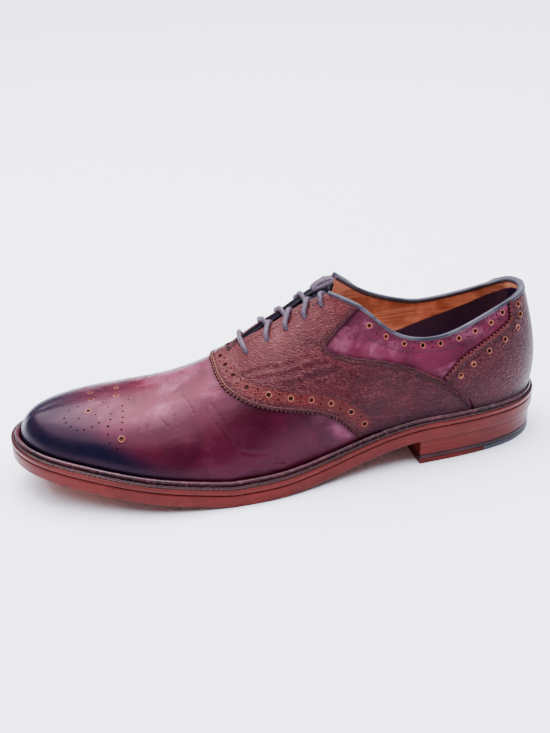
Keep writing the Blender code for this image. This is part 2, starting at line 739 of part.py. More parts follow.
def make_insole(material, collection):
    """Insole inside the foot of the upper."""
    edge, _ = plan(SIGNED, -UPPER_WALL - 2 * SEAT_GAP)
    base = sole_top(edge[:, 1]) + SEAT_GAP
    rings = [np.column_stack([edge, base]), np.column_stack([edge, base + INSOLE_THICKNESS])]
    return stack("insole", rings, material, collection)


def lace_row(turn, rise):
    """Lace from an outer eyelet over both facing edges to the inner one."""
    over = 2 * SOFT_GAP + SEAT_GAP + OVERLAY_THICKNESS + LACE_DIAMETER / 2
    rises = np.array([rise, rise + 0.02, (rise + 1) / 2, 0.985])
    lifts = over + SEAT_GAP * np.array([0.0, 0.0, 1.0, 1.0])
    outer = skin_at(np.full(4, turn), rises, lifts[:, None])
    inner = skin_at(np.full(4, 2.0 - turn), rises, lifts[:, None])
    middle = (outer[-1] + inner[-1]) / 2
    return np.vstack([outer, [middle], inner[::-1]])


def make_laces(material, collection):
    """Five crossings joined by the run between them; returns the middle of each crossing."""
    rows = []
    middles = []
    for number, (turn, rise) in enumerate(EYELETS):
        path = lace_row(turn, rise)
        middles.append(path[len(path) // 2])
        rows.append(tube("lace_row_%d" % number, bow_between(path, 10), LACE_DIAMETER, material, collection))
    spine = tube("lace_run", bow_between(middles, 9), LACE_DIAMETER * 0.8, material, collection)
    laces = union(spine, rows)
    laces.name = "lace_crossings"
    laces.data.name = "lace_crossings"
    return middles


def make_knot(middles, material, collection):
    """Tucked loop of lace that lies along the slit over the top eyelets."""
    back = (Vector(middles[-1]) - Vector(middles[-2])).normalized()
    side = Vector((1.0, 0.0, 0.0))
    up = side.cross(back)
    if up.z < 0:
        up = -up
    frame = np.array([back[:], side[:], up[:]])
    path = np.asarray(middles[-1]) + KNOT @ frame * LACE_DIAMETER
    tube("lace_knot", bow_between(path, 19), LACE_DIAMETER, material, collection)


def main():
    """Build every piece of the shoe."""
    parts = group("saddle_oxford")
    plum = paint("plum leather", (0.20, 0.055, 0.09), 0.40)
    brown = paint("brown grain leather", (0.20, 0.075, 0.055), 0.50)
    edge = paint("edge leather", (0.22, 0.07, 0.05), 0.45)
    dark = paint("welt leather", (0.07, 0.02, 0.03), 0.50)
    rubber = paint("heel rubber", (0.02, 0.03, 0.04), 0.60)
    lining = paint("lining leather", (0.30, 0.13, 0.05), 0.55)
    navy = paint("navy leather", (0.03, 0.03, 0.06), 0.55)
    waxed = paint("waxed cord", (0.32, 0.27, 0.27), 0.60)
    piping = paint("collar piping", (0.12, 0.12, 0.16), 0.55)
    make_outsole(edge, parts)
    make_welt(dark, parts)
    make_heel(edge.copy(), rubber, parts)
    make_upper(plum, parts)
    make_saddle("saddle_outer", 1, brown, parts)
    make_saddle("saddle_inner", -1, brown.copy(), parts)
    make_counter(brown.copy(), parts)
    make_binding(piping, parts)
    make_tongue(navy, parts)
    make_insole(lining, parts)
    middles = make_laces(waxed, parts)
    make_knot(middles, waxed.copy(), parts)


main()
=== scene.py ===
"""Looks of a left saddle oxford with brogueing, dressed round its solids.

Everything is in metres in the solids' own frame: the toe points to -Y, the outer side to +X and the
floor is z = 0.  Places on the upper are pairs (turn, rise).  turn runs round the shoe, 0 at the heel,
1 at the toe tip along the outer side, 2 at the heel again along the inner side.  rise is 0 at the
feather line and 1 at the collar, the facing edge or the crest of the vamp.
"""
import logging
import math
from dataclasses import dataclass, field
from enum import Enum
from typing import Callable

import bmesh
import bpy
import numpy as np
from mathutils import Matrix, Vector
from mathutils.geometry import delaunay_2d_cdt


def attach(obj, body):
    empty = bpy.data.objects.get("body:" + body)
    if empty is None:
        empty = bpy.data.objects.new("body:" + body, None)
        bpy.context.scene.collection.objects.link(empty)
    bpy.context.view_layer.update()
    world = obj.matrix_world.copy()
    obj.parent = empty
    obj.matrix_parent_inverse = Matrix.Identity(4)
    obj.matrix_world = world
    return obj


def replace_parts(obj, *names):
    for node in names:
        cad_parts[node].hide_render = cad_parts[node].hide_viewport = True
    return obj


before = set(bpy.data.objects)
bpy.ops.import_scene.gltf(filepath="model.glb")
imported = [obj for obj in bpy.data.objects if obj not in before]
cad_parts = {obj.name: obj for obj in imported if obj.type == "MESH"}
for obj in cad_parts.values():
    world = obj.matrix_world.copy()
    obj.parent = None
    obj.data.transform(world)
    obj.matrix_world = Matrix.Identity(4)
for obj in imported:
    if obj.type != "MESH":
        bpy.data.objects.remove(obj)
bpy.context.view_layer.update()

LOG = logging.getLogger("shoe")
MM = 0.001
BODY = "root"
BLOCK = 4000  # points compared with all others at once
SHARP = math.radians(50)  # steepest fold that is shaded smooth

# Feather line. turn | outer side: share of length, of ball width | inner side: the same.
FEATHER = np.array([
    (0.000, 0.000, 0.000, 0.000, 0.000),
    (0.070, 0.035, 0.210, 0.035, 0.225),
    (0.145, 0.110, 0.315, 0.110, 0.315),
    (0.270, 0.250, 0.370, 0.240, 0.310),
    (0.425, 0.420, 0.415, 0.400, 0.270),
    (0.550, 0.560, 0.490, 0.550, 0.340),
    (0.660, 0.680, 0.500, 0.690, 0.455),
    (0.760, 0.790, 0.455, 0.800, 0.475),
    (0.855, 0.890, 0.335, 0.900, 0.390),
    (0.930, 0.963, 0.205, 0.972, 0.225),
    (1.000, 1.000, 0.000, 1.000, 0.000),
])

# Collar. turn | outer: share of length, ball width, back height | inner: the same.
COLLAR = np.array([
    (0.000, 0.016, 0.000, 1.000, 0.016, 0.000, 1.000),
    (0.035, 0.022, 0.075, 0.994, 0.021, 0.075, 0.992),
    (0.070, 0.042, 0.138, 0.972, 0.036, 0.138, 0.966),
    (0.145, 0.105, 0.215, 0.912, 0.092, 0.218, 0.890),
    (0.210, 0.175, 0.262, 0.838, 0.170, 0.265, 0.832),
    (0.270, 0.235, 0.280, 0.812, 0.225, 0.270, 0.842),
    (0.340, 0.315, 0.272, 0.905, 0.310, 0.222, 0.955),
    (0.385, 0.365, 0.215, 1.050, 0.350, 0.160, 1.055),
    (0.420, 0.410, 0.065, 1.100, 0.385, 0.080, 1.155),
])

# Facing edges. turn | outer: share of length, ball width, instep height | inner: the same.
FACING = np.array([
    (0.465, 0.462, 0.050, 0.915, 0.455, 0.055, 0.922),
    (0.500, 0.500, 0.050, 0.850, 0.497, 0.050, 0.845),
    (0.540, 0.545, 0.042, 0.780, 0.540, 0.042, 0.780),
])

# Crest of the vamp, from the throat to the toe. turn | share of length, ball width, instep height.
CREST = np.array([
    (0.580, 0.592, 0.000, 0.700),
    (0.610, 0.625, -0.010, 0.645),
    (0.660, 0.690, -0.020, 0.560),
    (0.710, 0.745, -0.025, 0.516),
    (0.760, 0.795, -0.025, 0.497),
    (0.810, 0.845, -0.020, 0.490),
    (0.860, 0.888, -0.015, 0.482),
    (0.910, 0.922, -0.010, 0.470),
    (0.955, 0.942, -0.005, 0.458),
    (1.000, 0.953, 0.000, 0.450),
])

# Handles of the wall's cubic curve. turn | outer: bulge, rise, lean, drop | inner: the same.
WALL = np.array([
    (0.000, 0.075, 0.35, 0.060, 0.35, 0.075, 0.35, 0.060, 0.35),
    (0.070, 0.070, 0.35, 0.070, 0.35, 0.070, 0.35, 0.070, 0.35),
    (0.145, 0.055, 0.35, 0.090, 0.38, 0.055, 0.35, 0.090, 0.38),
    (0.270, 0.035, 0.38, 0.080, 0.35, 0.050, 0.38, 0.070, 0.35),
    (0.420, 0.025, 0.45, 0.200, 0.25, 0.060, 0.45, 0.160, 0.25),
    (0.500, 0.030, 0.48, 0.260, 0.12, 0.060, 0.45, 0.200, 0.12),
    (0.580, 0.035, 0.50, 0.280, 0.05, 0.045, 0.50, 0.240, 0.05),
    (0.660, 0.035, 0.50, 0.300, 0.02, 0.030, 0.50, 0.260, 0.02),
    (0.760, 0.030, 0.55, 0.280, 0.00, 0.030, 0.55, 0.260, 0.00),
    (0.855, 0.025, 0.58, 0.220, 0.00, 0.025, 0.58, 0.220, 0.00),
    (0.930, 0.015, 0.60, 0.150, 0.00, 0.015, 0.60, 0.150, 0.00),
    (1.000, 0.010, 0.62, 0.070, 0.00, 0.010, 0.62, 0.070, 0.00),
])

FACING_TOP = COLLAR[-1, 0]
THROAT = CREST[0, 0]

# Seams on the outer side, as (turn, rise); the inner side has the same ones.
SADDLE_FRONT = (
    (0.620, 1.000), (0.620, 0.940), (0.620, 0.838), (0.616, 0.720), (0.608, 0.635), (0.596, 0.568),
    (0.582, 0.510), (0.564, 0.455), (0.546, 0.415), (0.524, 0.378), (0.498, 0.338), (0.470, 0.290),
    (0.448, 0.242), (0.428, 0.188), (0.410, 0.120), (0.398, 0.072),
)
BAND_STITCH = (
    (0.590, 0.995), (0.592, 0.878), (0.586, 0.755), (0.574, 0.672), (0.560, 0.610), (0.542, 0.555),
    (0.520, 0.500), (0.496, 0.455), (0.470, 0.410), (0.442, 0.362), (0.414, 0.307), (0.394, 0.273),
    (0.368, 0.155), (0.362, 0.095),
)
PANEL_EDGE = (
    (0.385, 1.000), (0.402, 0.873), (0.411, 0.800), (0.421, 0.744), (0.432, 0.711), (0.441, 0.688),
    (0.445, 0.660), (0.438, 0.624), (0.424, 0.597), (0.408, 0.594), (0.394, 0.610), (0.380, 0.632),
    (0.364, 0.665), (0.346, 0.700), (0.328, 0.715), (0.310, 0.706), (0.292, 0.673), (0.274, 0.615),
    (0.254, 0.550), (0.234, 0.443), (0.214, 0.330), (0.200, 0.240), (0.190, 0.140), (0.186, 0.072),
)
TOPLINE_STITCH = (
    (0.384, 0.800), (0.364, 0.810), (0.346, 0.835), (0.328, 0.848), (0.310, 0.862), (0.292, 0.868),
    (0.274, 0.870), (0.254, 0.869), (0.234, 0.866), (0.214, 0.864), (0.194, 0.862), (0.174, 0.864),
    (0.154, 0.870), (0.138, 0.892), (0.112, 0.905),
)
COUNTER_EDGE = (
    (0.098, 1.000), (0.100, 0.893), (0.108, 0.840), (0.128, 0.815), (0.154, 0.790), (0.174, 0.768),
    (0.194, 0.738), (0.212, 0.693), (0.230, 0.600), (0.242, 0.530),
)

# Large holes, as (turn, rise): saddle band, topline band, counter.
BAND_HOLES = (
    (0.604, 0.943), (0.601, 0.843), (0.594, 0.733), (0.578, 0.613), (0.549, 0.517), (0.516, 0.450),
    (0.481, 0.392), (0.446, 0.328), (0.410, 0.247), (0.386, 0.158),
)
TOPLINE_HOLES = (
    (0.376, 0.900), (0.348, 0.915), (0.316, 0.932), (0.284, 0.936), (0.250, 0.936), (0.212, 0.927),
    (0.180, 0.922), (0.148, 0.918), (0.120, 0.945),
)
COUNTER_HOLES = ((0.214, 0.540), (0.190, 0.625), (0.160, 0.690), (0.126, 0.722), (0.092, 0.758),
                 (0.078, 0.845), (0.078, 0.935))

# Stitches down the facing and along the collar, and the counter's lower front edge, as (turn, rise).
FACING_STITCH = ((0.425, 0.955), (0.470, 0.950), (0.520, 0.945), (0.572, 0.945))
COLLAR_STITCH = ((0.372, 0.965), (0.320, 0.962), (0.270, 0.960), (0.200, 0.962), (0.120, 0.968))
COUNTER_SEAM = ((0.234, 0.478), (0.223, 0.400), (0.210, 0.330), (0.196, 0.240), (0.186, 0.140),
                (0.182, 0.072))

# Toe medallion, outer half, as (turn, rise, radius in mm): arc row, scroll and scattered holes.
MEDALLION = (
    (0.766, 0.790, 0.55), (0.766, 0.733, 0.55), (0.768, 0.672, 0.60), (0.770, 0.618, 0.60),
    (0.774, 0.547, 0.65), (0.790, 0.352, 0.50), (0.799, 0.410, 0.55), (0.798, 0.497, 0.60),
    (0.794, 0.583, 0.75), (0.788, 0.655, 0.60), (0.786, 0.712, 0.55),
    (0.808, 0.625, 0.55), (0.822, 0.578, 0.55), (0.838, 0.545, 0.55), (0.852, 0.537, 0.55),
    (0.864, 0.578, 0.55), (0.874, 0.630, 0.55), (0.878, 0.698, 0.60),
    (0.800, 0.870, 0.50), (0.850, 0.850, 0.50), (0.846, 0.680, 0.50), (0.812, 0.720, 0.45),
    (0.790, 0.800, 0.45), (0.870, 0.800, 0.45), (0.890, 0.900, 0.45), (0.756, 0.860, 0.45),
)
TOE_EYES = ((0.778, 0.455), (0.826, 0.772), (0.826, 0.930), (0.778, 0.935))

# Eyelets on one facing as (turn, rise), from the throat up, the solids' own turns of the same rows,
# and the bar tack's ring.
EYELETS = ((0.566, 0.858), (0.534, 0.878), (0.502, 0.890), (0.468, 0.897), (0.437, 0.932))
SOLID_ROWS = (0.566, 0.534, 0.501, 0.467, 0.438)
BAR_TACK = (0.588, 0.966)

# Tucked double loop of lace over the top row, in lace diameters from that row's middle: back, outwards, up.
LOOP = (
    (-1.35, -0.10, 0.18),
    (-0.35, -0.42, 0.63),
    (1.05, -0.52, 0.76),
    (2.45, -0.50, 0.63),
    (3.25, -0.05, 0.40),
    (3.10, 0.60, 0.10),
    (1.95, 0.80, 0.10),
    (0.55, 0.82, 0.10),
    (-0.65, 0.62, 0.28),
    (0.05, 0.42, 0.70),
    (1.45, 0.44, 0.80),
    (2.65, 0.46, 0.63),
    (3.25, 0.62, 0.23),
)

# Creases of the plum leather on one side: path of (turn, rise), depth, width, worn colour 0..1.
CREASES = (
    (((0.738, 0.850), (0.734, 0.750), (0.732, 0.655), (0.734, 0.505)), 0.13 * MM, 0.5 * MM, 0.22),
    (((0.722, 0.860), (0.712, 0.740), (0.712, 0.640), (0.702, 0.540)), 0.15 * MM, 0.55 * MM, 0.25),
    (((0.704, 0.850), (0.694, 0.740), (0.688, 0.640), (0.690, 0.520)), 0.13 * MM, 0.5 * MM, 0.22),
    (((0.752, 0.700), (0.746, 0.600), (0.748, 0.480)), 0.10 * MM, 0.45 * MM, 0.20),
    (((0.672, 0.780), (0.664, 0.700), (0.660, 0.600)), 0.13 * MM, 0.5 * MM, 0.20),
    (((0.634, 0.618), (0.622, 0.480), (0.610, 0.310), (0.600, 0.168)), 0.12 * MM, 0.6 * MM, 0.60),
    (((0.644, 0.600), (0.632, 0.450), (0.620, 0.330)), 0.08 * MM, 0.55 * MM, 0.45),
    (((0.628, 0.520), (0.618, 0.400), (0.600, 0.300)), 0.08 * MM, 0.55 * MM, 0.40),
    (((0.545, 0.150), (0.528, 0.120), (0.505, 0.100)), 0.25 * MM, 1.0 * MM, 0.15),
    (((0.574, 0.130), (0.550, 0.105), (0.528, 0.085)), 0.22 * MM, 1.0 * MM, 0.15),
    (((0.600, 0.240), (0.575, 0.200), (0.555, 0.180)), 0.15 * MM, 0.9 * MM, 0.20),
)

# Folds of the grain leather on one side: path of (turn, rise), depth, width.
FOLDS = (
    (((0.590, 0.700), (0.560, 0.690), (0.520, 0.650), (0.480, 0.640)), 0.30 * MM, 1.4 * MM),
    (((0.560, 0.640), (0.530, 0.610), (0.490, 0.580), (0.450, 0.560)), 0.30 * MM, 1.4 * MM),
    (((0.520, 0.530), (0.480, 0.510), (0.440, 0.500), (0.400, 0.500)), 0.28 * MM, 1.3 * MM),
    (((0.470, 0.720), (0.455, 0.640), (0.450, 0.560)), 0.25 * MM, 1.5 * MM),
)

# Seams of the grain leather: path, ridges and grooves in mm from it, and how worn the ridges are;
# the same share also lays a painted highlight on them.
SEAM_LINES = (
    (SADDLE_FRONT, (1.0, 2.35), (1.65, 3.0), 0.85),
    (PANEL_EDGE, (0.45, 2.1), (1.3, 2.8), 0.15),
    (COUNTER_EDGE, (0.95, 2.05), (1.5, 2.7), 0.30),
)

# Seams that cast a painted shadow line on the plum leather, with its strength.
SEAM_SHADES = ((SADDLE_FRONT, 0.30), (PANEL_EDGE, 0.30), (COUNTER_EDGE, 0.90))

# Outsole's section in mm, from the floor up: place past the edge, height.
OUTSOLE = ((-1.6, 0.0), (-0.9, 0.0), (-0.55, 0.08), (-0.22, 0.30), (-0.05, 0.65), (0.0, 1.1), (0.0, 3.0),
           (0.0, 5.0), (0.0, 6.6), (-0.1, 6.95), (-0.45, 7.2), (-0.9, 7.38))

# Upper border of the painted shade at the foot of the vamp's side, below its lit crest, as (turn, rise).
DARK_FOOT = np.array([(0.60, 0.63), (0.664, 0.66), (0.728, 0.62), (0.782, 0.49), (0.84, 0.40)])


class Side(Enum):
    """Side of the shoe that a seam or a hole lies on."""

    OUTER = 1
    INNER = -1

    def place(self, path: np.ndarray) -> np.ndarray:
        """Put a path of outer (turn, rise) pairs on this side."""
        path = np.array(path, float)
        if self is Side.INNER:
            path[:, 0] = 2.0 - path[:, 0]
        return path


def smooth(knots: np.ndarray, rows: np.ndarray, at: np.ndarray, loop: float = 0.0) -> np.ndarray:
    """Curve of even curvature through rows at knots: a cubic on each span, bends found from one system.

    Args:
        knots: places of the rows.
        rows: values, one row a knot.
        at: places to read.
        loop: period of a closed curve, or 0.

    Returns:
        One row for each place read.
    """
    knots, rows = np.asarray(knots, float), np.asarray(rows, float)
    at = np.atleast_1d(np.asarray(at, float))
    if loop:
        at = at % loop
        knots = np.concatenate([knots[-4:] - loop, knots, knots[:4] + loop])
        rows = np.concatenate([rows[-4:], rows, rows[:4]])
    gap = np.diff(knots)
    slope = np.diff(rows, axis=0) / gap[:, None]
    system = np.eye(len(knots))
    pull = np.zeros_like(rows)
    for i in range(1, len(knots) - 1):
        system[i, i - 1:i + 2] = gap[i - 1], 2 * (gap[i - 1] + gap[i]), gap[i]
        pull[i] = 6 * (slope[i] - slope[i - 1])
    bend = np.linalg.solve(system, pull)
    span = np.clip(np.searchsorted(knots, at) - 1, 0, len(gap) - 1)
    far = ((at - knots[span]) / gap[span])[:, None]
    near = 1 - far
    arch = (near ** 3 - near) * bend[span] + (far ** 3 - far) * bend[span + 1]
    return near * rows[span] + far * rows[span + 1] + arch * (gap[span] ** 2)[:, None] / 6


def through(points: np.ndarray, count: int) -> np.ndarray:
    """Rounded path of 'count' points through a few points, spaced by their distance."""
    points = np.asarray(points, float)
    reach = reach_along(points)
    return smooth(reach, points, np.linspace(0.0, reach[-1], count))


def nearest(points: np.ndarray, targets: np.ndarray) -> np.ndarray:
    """Distance from each point to its nearest target, by |a - b|^2 = a.a + b.b - 2 a.b in blocks."""
    own = (targets ** 2).sum(axis=1)
    parts = []
    for block in np.array_split(points, max(1, len(points) // BLOCK)):
        square = (block ** 2).sum(axis=1)[:, None] + own - 2 * block @ targets.T
        parts.append(np.sqrt(np.maximum(square.min(axis=1), 0.0)))
    return np.concatenate(parts)


def inside(points: np.ndarray, outline: np.ndarray) -> np.ndarray:
    """Whether each point lies in a closed outline: a ray to the right crosses it an odd number of times."""
    a, b = outline, np.roll(outline, -1, axis=0)
    run = np.where(b[:, 1] == a[:, 1], 1e-12, b[:, 1] - a[:, 1])
    parts = []
    for block in np.array_split(points, max(1, len(points) // BLOCK)):
        x, y = block[:, 0:1], block[:, 1:2]
        spans = (a[:, 1] > y) != (b[:, 1] > y)
        parts.append((spans & (x < a[:, 0] + (y - a[:, 1]) / run * (b[:, 0] - a[:, 0]))).sum(axis=1) % 2 == 1)
    return np.concatenate(parts)


def fade(value: np.ndarray, low: float, high: float) -> np.ndarray:
    """Smooth step from 0 at low to 1 at high."""
    share = np.clip((value - low) / (high - low), 0.0, 1.0)
    return share * share * (3 - 2 * share)


def unit(rows: np.ndarray) -> np.ndarray:
    """Rows brought to length 1."""
    return rows / np.linalg.norm(rows, axis=-1)[..., None]


def reach_along(path: np.ndarray) -> np.ndarray:
    """Distance run along a path at each of its points."""
    return np.concatenate([[0.0], np.cumsum(np.linalg.norm(np.diff(path, axis=0), axis=1))])


def circle(count: int) -> np.ndarray:
    """Angles of even steps round a circle."""
    return np.linspace(0.0, 2 * math.pi, count, endpoint=False)


def crease(far: np.ndarray, depth: float, width: float, ridge: float, place: float) -> np.ndarray:
    """Lift beside a crease at the distance d: a trough -depth * exp(-(d / width)^2) and a lower ridge.

    Args:
        far: distances from the crease's path.
        depth: depth of the trough.
        width: width of the trough.
        ridge: the ridge's height, as a share of the depth.
        place: the ridge's distance, as a share of the width.

    Returns:
        The lift at each distance.
    """
    return depth * (ridge * np.exp(-(far / width - place) ** 2) - np.exp(-(far / width) ** 2))


@dataclass(frozen=True)
class Last:
    """The form that every curved piece follows, with the solids' own sizes in metres."""

    length: float = 0.298
    ball_width: float = 0.098
    back_height: float = 0.0885
    instep_height: float = 0.100
    heel_stack: float = 0.0155
    toe_spring: float = 0.0185
    outsole: float = 0.0074
    welt: float = 0.0030
    bead_rise: float = 0.0027
    bead_width: float = 0.0026
    edge_heel: float = 0.0058
    edge_ball: float = 0.0077
    edge_toe: float = 0.0055
    wall: float = 0.0020
    overlay: float = 0.0010
    seat_gap: float = 0.0003
    soft_gap: float = 0.0005
    seat_front: float = 0.235
    ball_back: float = 0.580
    ball_front: float = 0.636
    waist_ease: float = 1.2
    toe_ease: float = 1.08
    step: float = 1e-4
    top_rise: float = 0.998

    @staticmethod
    def signed(turn: np.ndarray) -> np.ndarray:
        """Turn as -1..1: positive on the outer side, negative on the inner one."""
        turn = np.atleast_1d(np.asarray(turn, float)) % 2.0
        return np.where(turn > 1, turn - 2, turn)

    @staticmethod
    def both_sides(table: np.ndarray, width: int) -> tuple[np.ndarray, np.ndarray]:
        """Knots and rows of a two-sided table in one run of signed turns, inner side first."""
        outer = table[table[:, 0] > 0]
        knots = np.concatenate([-table[::-1, 0], outer[:, 0]])
        rows = np.concatenate([table[::-1, 1 + width:], outer[:, 1:1 + width]])
        return knots, rows

    def edge_width(self, turn: np.ndarray) -> np.ndarray:
        """Distance from the feather line out to the sole's edge."""
        widths = (self.edge_heel, self.edge_heel, self.edge_ball, self.edge_ball, self.edge_toe)
        return np.interp(np.abs(self.signed(turn)), (0.0, 0.35, 0.55, 0.85, 1.0), widths)

    def plan_raw(self, turn: np.ndarray, out: np.ndarray) -> tuple[np.ndarray, np.ndarray]:
        """Plan point of the feather line moved outwards, before centring, and the outward direction."""
        inner = FEATHER[-2:0:-1]
        knots = np.concatenate([FEATHER[:, 0], 2 - inner[:, 0]])
        rows = np.concatenate([FEATHER[:, 1:3], inner[:, 3:5] * (1, -1)])

        def line(at: np.ndarray) -> np.ndarray:
            """Plan point of the feather line."""
            return smooth(knots, rows, at, loop=2.0)[:, ::-1] * (self.ball_width, -self.length)

        turn = np.atleast_1d(np.asarray(turn, float))
        way = unit(line(turn + self.step) - line(turn - self.step))
        aside = np.column_stack([-way[:, 1], way[:, 0]])
        return line(turn) + aside * np.reshape(out, (-1, 1)), aside

    @property
    def centre(self) -> np.ndarray:
        """Middle of the sole's outline, which the solids have as their origin."""
        ring = np.linspace(0.0, 2.0, 721)[:-1]
        edge = self.plan_raw(ring, self.edge_width(ring))[0]
        return (edge.min(axis=0) + edge.max(axis=0)) / 2

    def plan(self, turn: np.ndarray, out: np.ndarray = 0.0) -> tuple[np.ndarray, np.ndarray]:
        """Plan point and outward direction of the feather line, moved outwards by 'out'."""
        point, aside = self.plan_raw(turn, out)
        return point - CENTRE, aside

    def along(self, y: np.ndarray) -> np.ndarray:
        """Share of the length from the heel at the place y."""
        return -(y + CENTRE[1]) / self.length

    def tread(self, y: np.ndarray) -> np.ndarray:
        """Height of the outsole's underside: heel seat, waist, flat ball, toe spring."""
        s = self.along(y)
        back = np.clip((self.ball_back - s) / (self.ball_back - self.seat_front), 0, 1)
        front = np.clip((s - self.ball_front) / (1 - self.ball_front), 0, None)
        heel = self.heel_stack * (back * back * (3 - 2 * back)) ** self.waist_ease
        return heel + self.toe_spring * front ** self.toe_ease

    def sole_top(self, y: np.ndarray) -> np.ndarray:
        """Height of the outsole's top."""
        return self.tread(y) + self.outsole

    def feather(self, turn: np.ndarray) -> tuple[np.ndarray, np.ndarray]:
        """Foot of the upper's outer face, and the outward direction there."""
        point, aside = self.plan(turn)
        z = self.sole_top(point[:, 1]) + self.seat_gap
        return np.column_stack([point, z]), np.column_stack([aside, 0 * z])

    def top_line(self, turn: np.ndarray) -> np.ndarray:
        """Collar, facing edge or crest, by turn."""
        t = self.signed(turn)
        side = np.where(t < 0, -1.0, 1.0)
        back = (self.length, self.ball_width, self.back_height)
        front = (self.length, self.ball_width, self.instep_height)
        knots, rows = self.both_sides(COLLAR, 3)
        line = smooth(knots, rows * back, t)
        corner = COLLAR[-1, 1:].reshape(2, 3) * back
        edges = FACING[:, 1:].reshape(-1, 2, 3) * front
        places = np.concatenate([[FACING_TOP], FACING[:, 0], [THROAT]])
        for number, way in ((0, 1.0), (1, -1.0)):
            here = (side == way) & (np.abs(t) > FACING_TOP)
            stops = np.vstack([corner[number], edges[:, number], CREST[0, 1:] * front])
            line[here] = smooth(places, stops, np.abs(t[here]))
        crest = smooth(CREST[:, 0], CREST[:, 1:] * front, np.abs(t))
        here = np.abs(t) >= THROAT
        line[:, 1] *= side
        line = np.where(here[:, None], crest, line)
        return np.column_stack([line[:, 1] - CENTRE[0], -line[:, 0] - CENTRE[1], line[:, 2]])

    def face(self, turn: np.ndarray, rise: np.ndarray) -> np.ndarray:
        """Outer face of the upper: a cubic curve from feather to top line, bulged by the wall's handles."""
        turn, rise = np.broadcast_arrays(np.asarray(turn, float), np.asarray(rise, float))
        shape = turn.shape
        turn, w = turn.ravel(), rise.ravel()[:, None]
        foot, aside = self.feather(turn)
        top = self.top_line(turn)
        knots, rows = self.both_sides(WALL, 4)
        h = smooth(knots, rows, self.signed(turn))
        up = np.array([0.0, 0.0, 1.0]) * (top[:, 2] - foot[:, 2])[:, None]
        low = foot + aside * h[:, 0:1] * self.ball_width + up * h[:, 1:2]
        high = top + aside * h[:, 2:3] * self.ball_width - up * h[:, 3:4]
        point = (1 - w) ** 3 * foot + 3 * (1 - w) ** 2 * w * low + 3 * (1 - w) * w ** 2 * high + w ** 3 * top
        return point.reshape(shape + (3,))

    def ways(self, turn: np.ndarray, rise: np.ndarray) -> tuple[np.ndarray, np.ndarray]:
        """Change of the outer face with turn and with rise, by small steps."""
        held = np.clip(rise, self.step, self.top_rise)
        round_way = (self.face(turn + self.step, held) - self.face(turn - self.step, held)) / (2 * self.step)
        up_way = (self.face(turn, held + self.step) - self.face(turn, held - self.step)) / (2 * self.step)
        return round_way, up_way

    def out_way(self, turn: np.ndarray, rise: np.ndarray) -> np.ndarray:
        """Unit direction out of the upper's outer face; on the crest both sides' directions are averaged."""
        turn, rise = np.broadcast_arrays(np.asarray(turn, float), np.asarray(rise, float))

        def raw(at: np.ndarray) -> np.ndarray:
            """Unit cross product of the two ways."""
            round_way, up_way = self.ways(at, rise)
            return unit(np.cross(up_way, round_way))

        way = raw(turn)
        crest = (rise >= 1.0) & (np.abs(self.signed(turn.ravel()).reshape(turn.shape)) >= THROAT)
        way = np.where(crest[..., None], way + raw(2.0 - turn), way)
        return unit(way)

    def skin(self, turn: np.ndarray, rise: np.ndarray, lift: np.ndarray) -> np.ndarray:
        """Point that lies 'lift' outside the upper's outer face."""
        turn, rise = np.broadcast_arrays(np.asarray(turn, float), np.asarray(rise, float))
        lift = np.broadcast_to(lift, turn.shape)
        return self.face(turn, rise) + self.out_way(turn, rise) * lift[..., None]

    def to_form(self, places: np.ndarray, right: np.ndarray, up: np.ndarray) -> np.ndarray:
        """Change in (turn, rise) that moves a place by real lengths along the surface.

        Args:
            places: rows of (turn, rise).
            right: lengths along the way that turn grows.
            up: lengths square to it, up the wall.

        Returns:
            Rows of (change in turn, change in rise), found by solving the two ways' 2 x 2 system.
        """
        round_way, up_way = self.ways(places[:, 0], places[:, 1])
        long = np.linalg.norm(round_way, axis=1)
        first = round_way / long[:, None]
        lean = (up_way * first).sum(axis=1)
        tall = np.sqrt(np.maximum((up_way ** 2).sum(axis=1) - lean ** 2, 1e-12))
        rise = up / tall
        return np.column_stack([(right - lean * rise) / long, rise])

    def shift(self, path: np.ndarray, aside: np.ndarray) -> np.ndarray:
        """Path moved sideways by a real length, to its left as it runs."""
        round_way, up_way = self.ways(path[:, 0], path[:, 1])
        run = np.gradient(path, axis=0)
        way = round_way * run[:, 0:1] + up_way * run[:, 1:2]
        out = self.out_way(path[:, 0], path[:, 1])
        left = unit(np.cross(out, way))
        first = unit(round_way)
        second = np.cross(out, first)
        second *= np.sign((second * up_way).sum(axis=1))[:, None]
        right = (left * first).sum(axis=1) * aside
        up = (left * second).sum(axis=1) * aside
        return path + self.to_form(path, right, up)

    def measured(self, path: np.ndarray, pitch: float) -> np.ndarray:
        """Path of (turn, rise) read again at equal real distances of about 'pitch'."""
        path = through(np.asarray(path, float), 40 * len(path))
        path[:, 1] = np.clip(path[:, 1], 0.0, 1.0)
        points = self.face(path[:, 0], path[:, 1])
        reach = reach_along(points)
        at = np.linspace(0.0, reach[-1], max(2, int(round(reach[-1] / pitch)) + 1))
        return np.column_stack([np.interp(at, reach, path[:, 0]), np.interp(at, reach, path[:, 1])])

    def distance(self, points: np.ndarray, path: np.ndarray, pitch: float = 1.0 * MM) -> np.ndarray:
        """Distance of points from a path of (turn, rise) that is drawn on the last."""
        line = self.measured(path, pitch)
        return nearest(points, self.face(line[:, 0], line[:, 1]))


LAST = Last()
CENTRE = LAST.centre


def to_linear(*colour: float) -> tuple[float, float, float, float]:
    """Linear colour of a screen colour given as 0..255."""
    share = [c / 255 for c in colour]
    return (*[c / 12.92 if c <= 0.04045 else ((c + 0.055) / 1.055) ** 2.4 for c in share], 1.0)


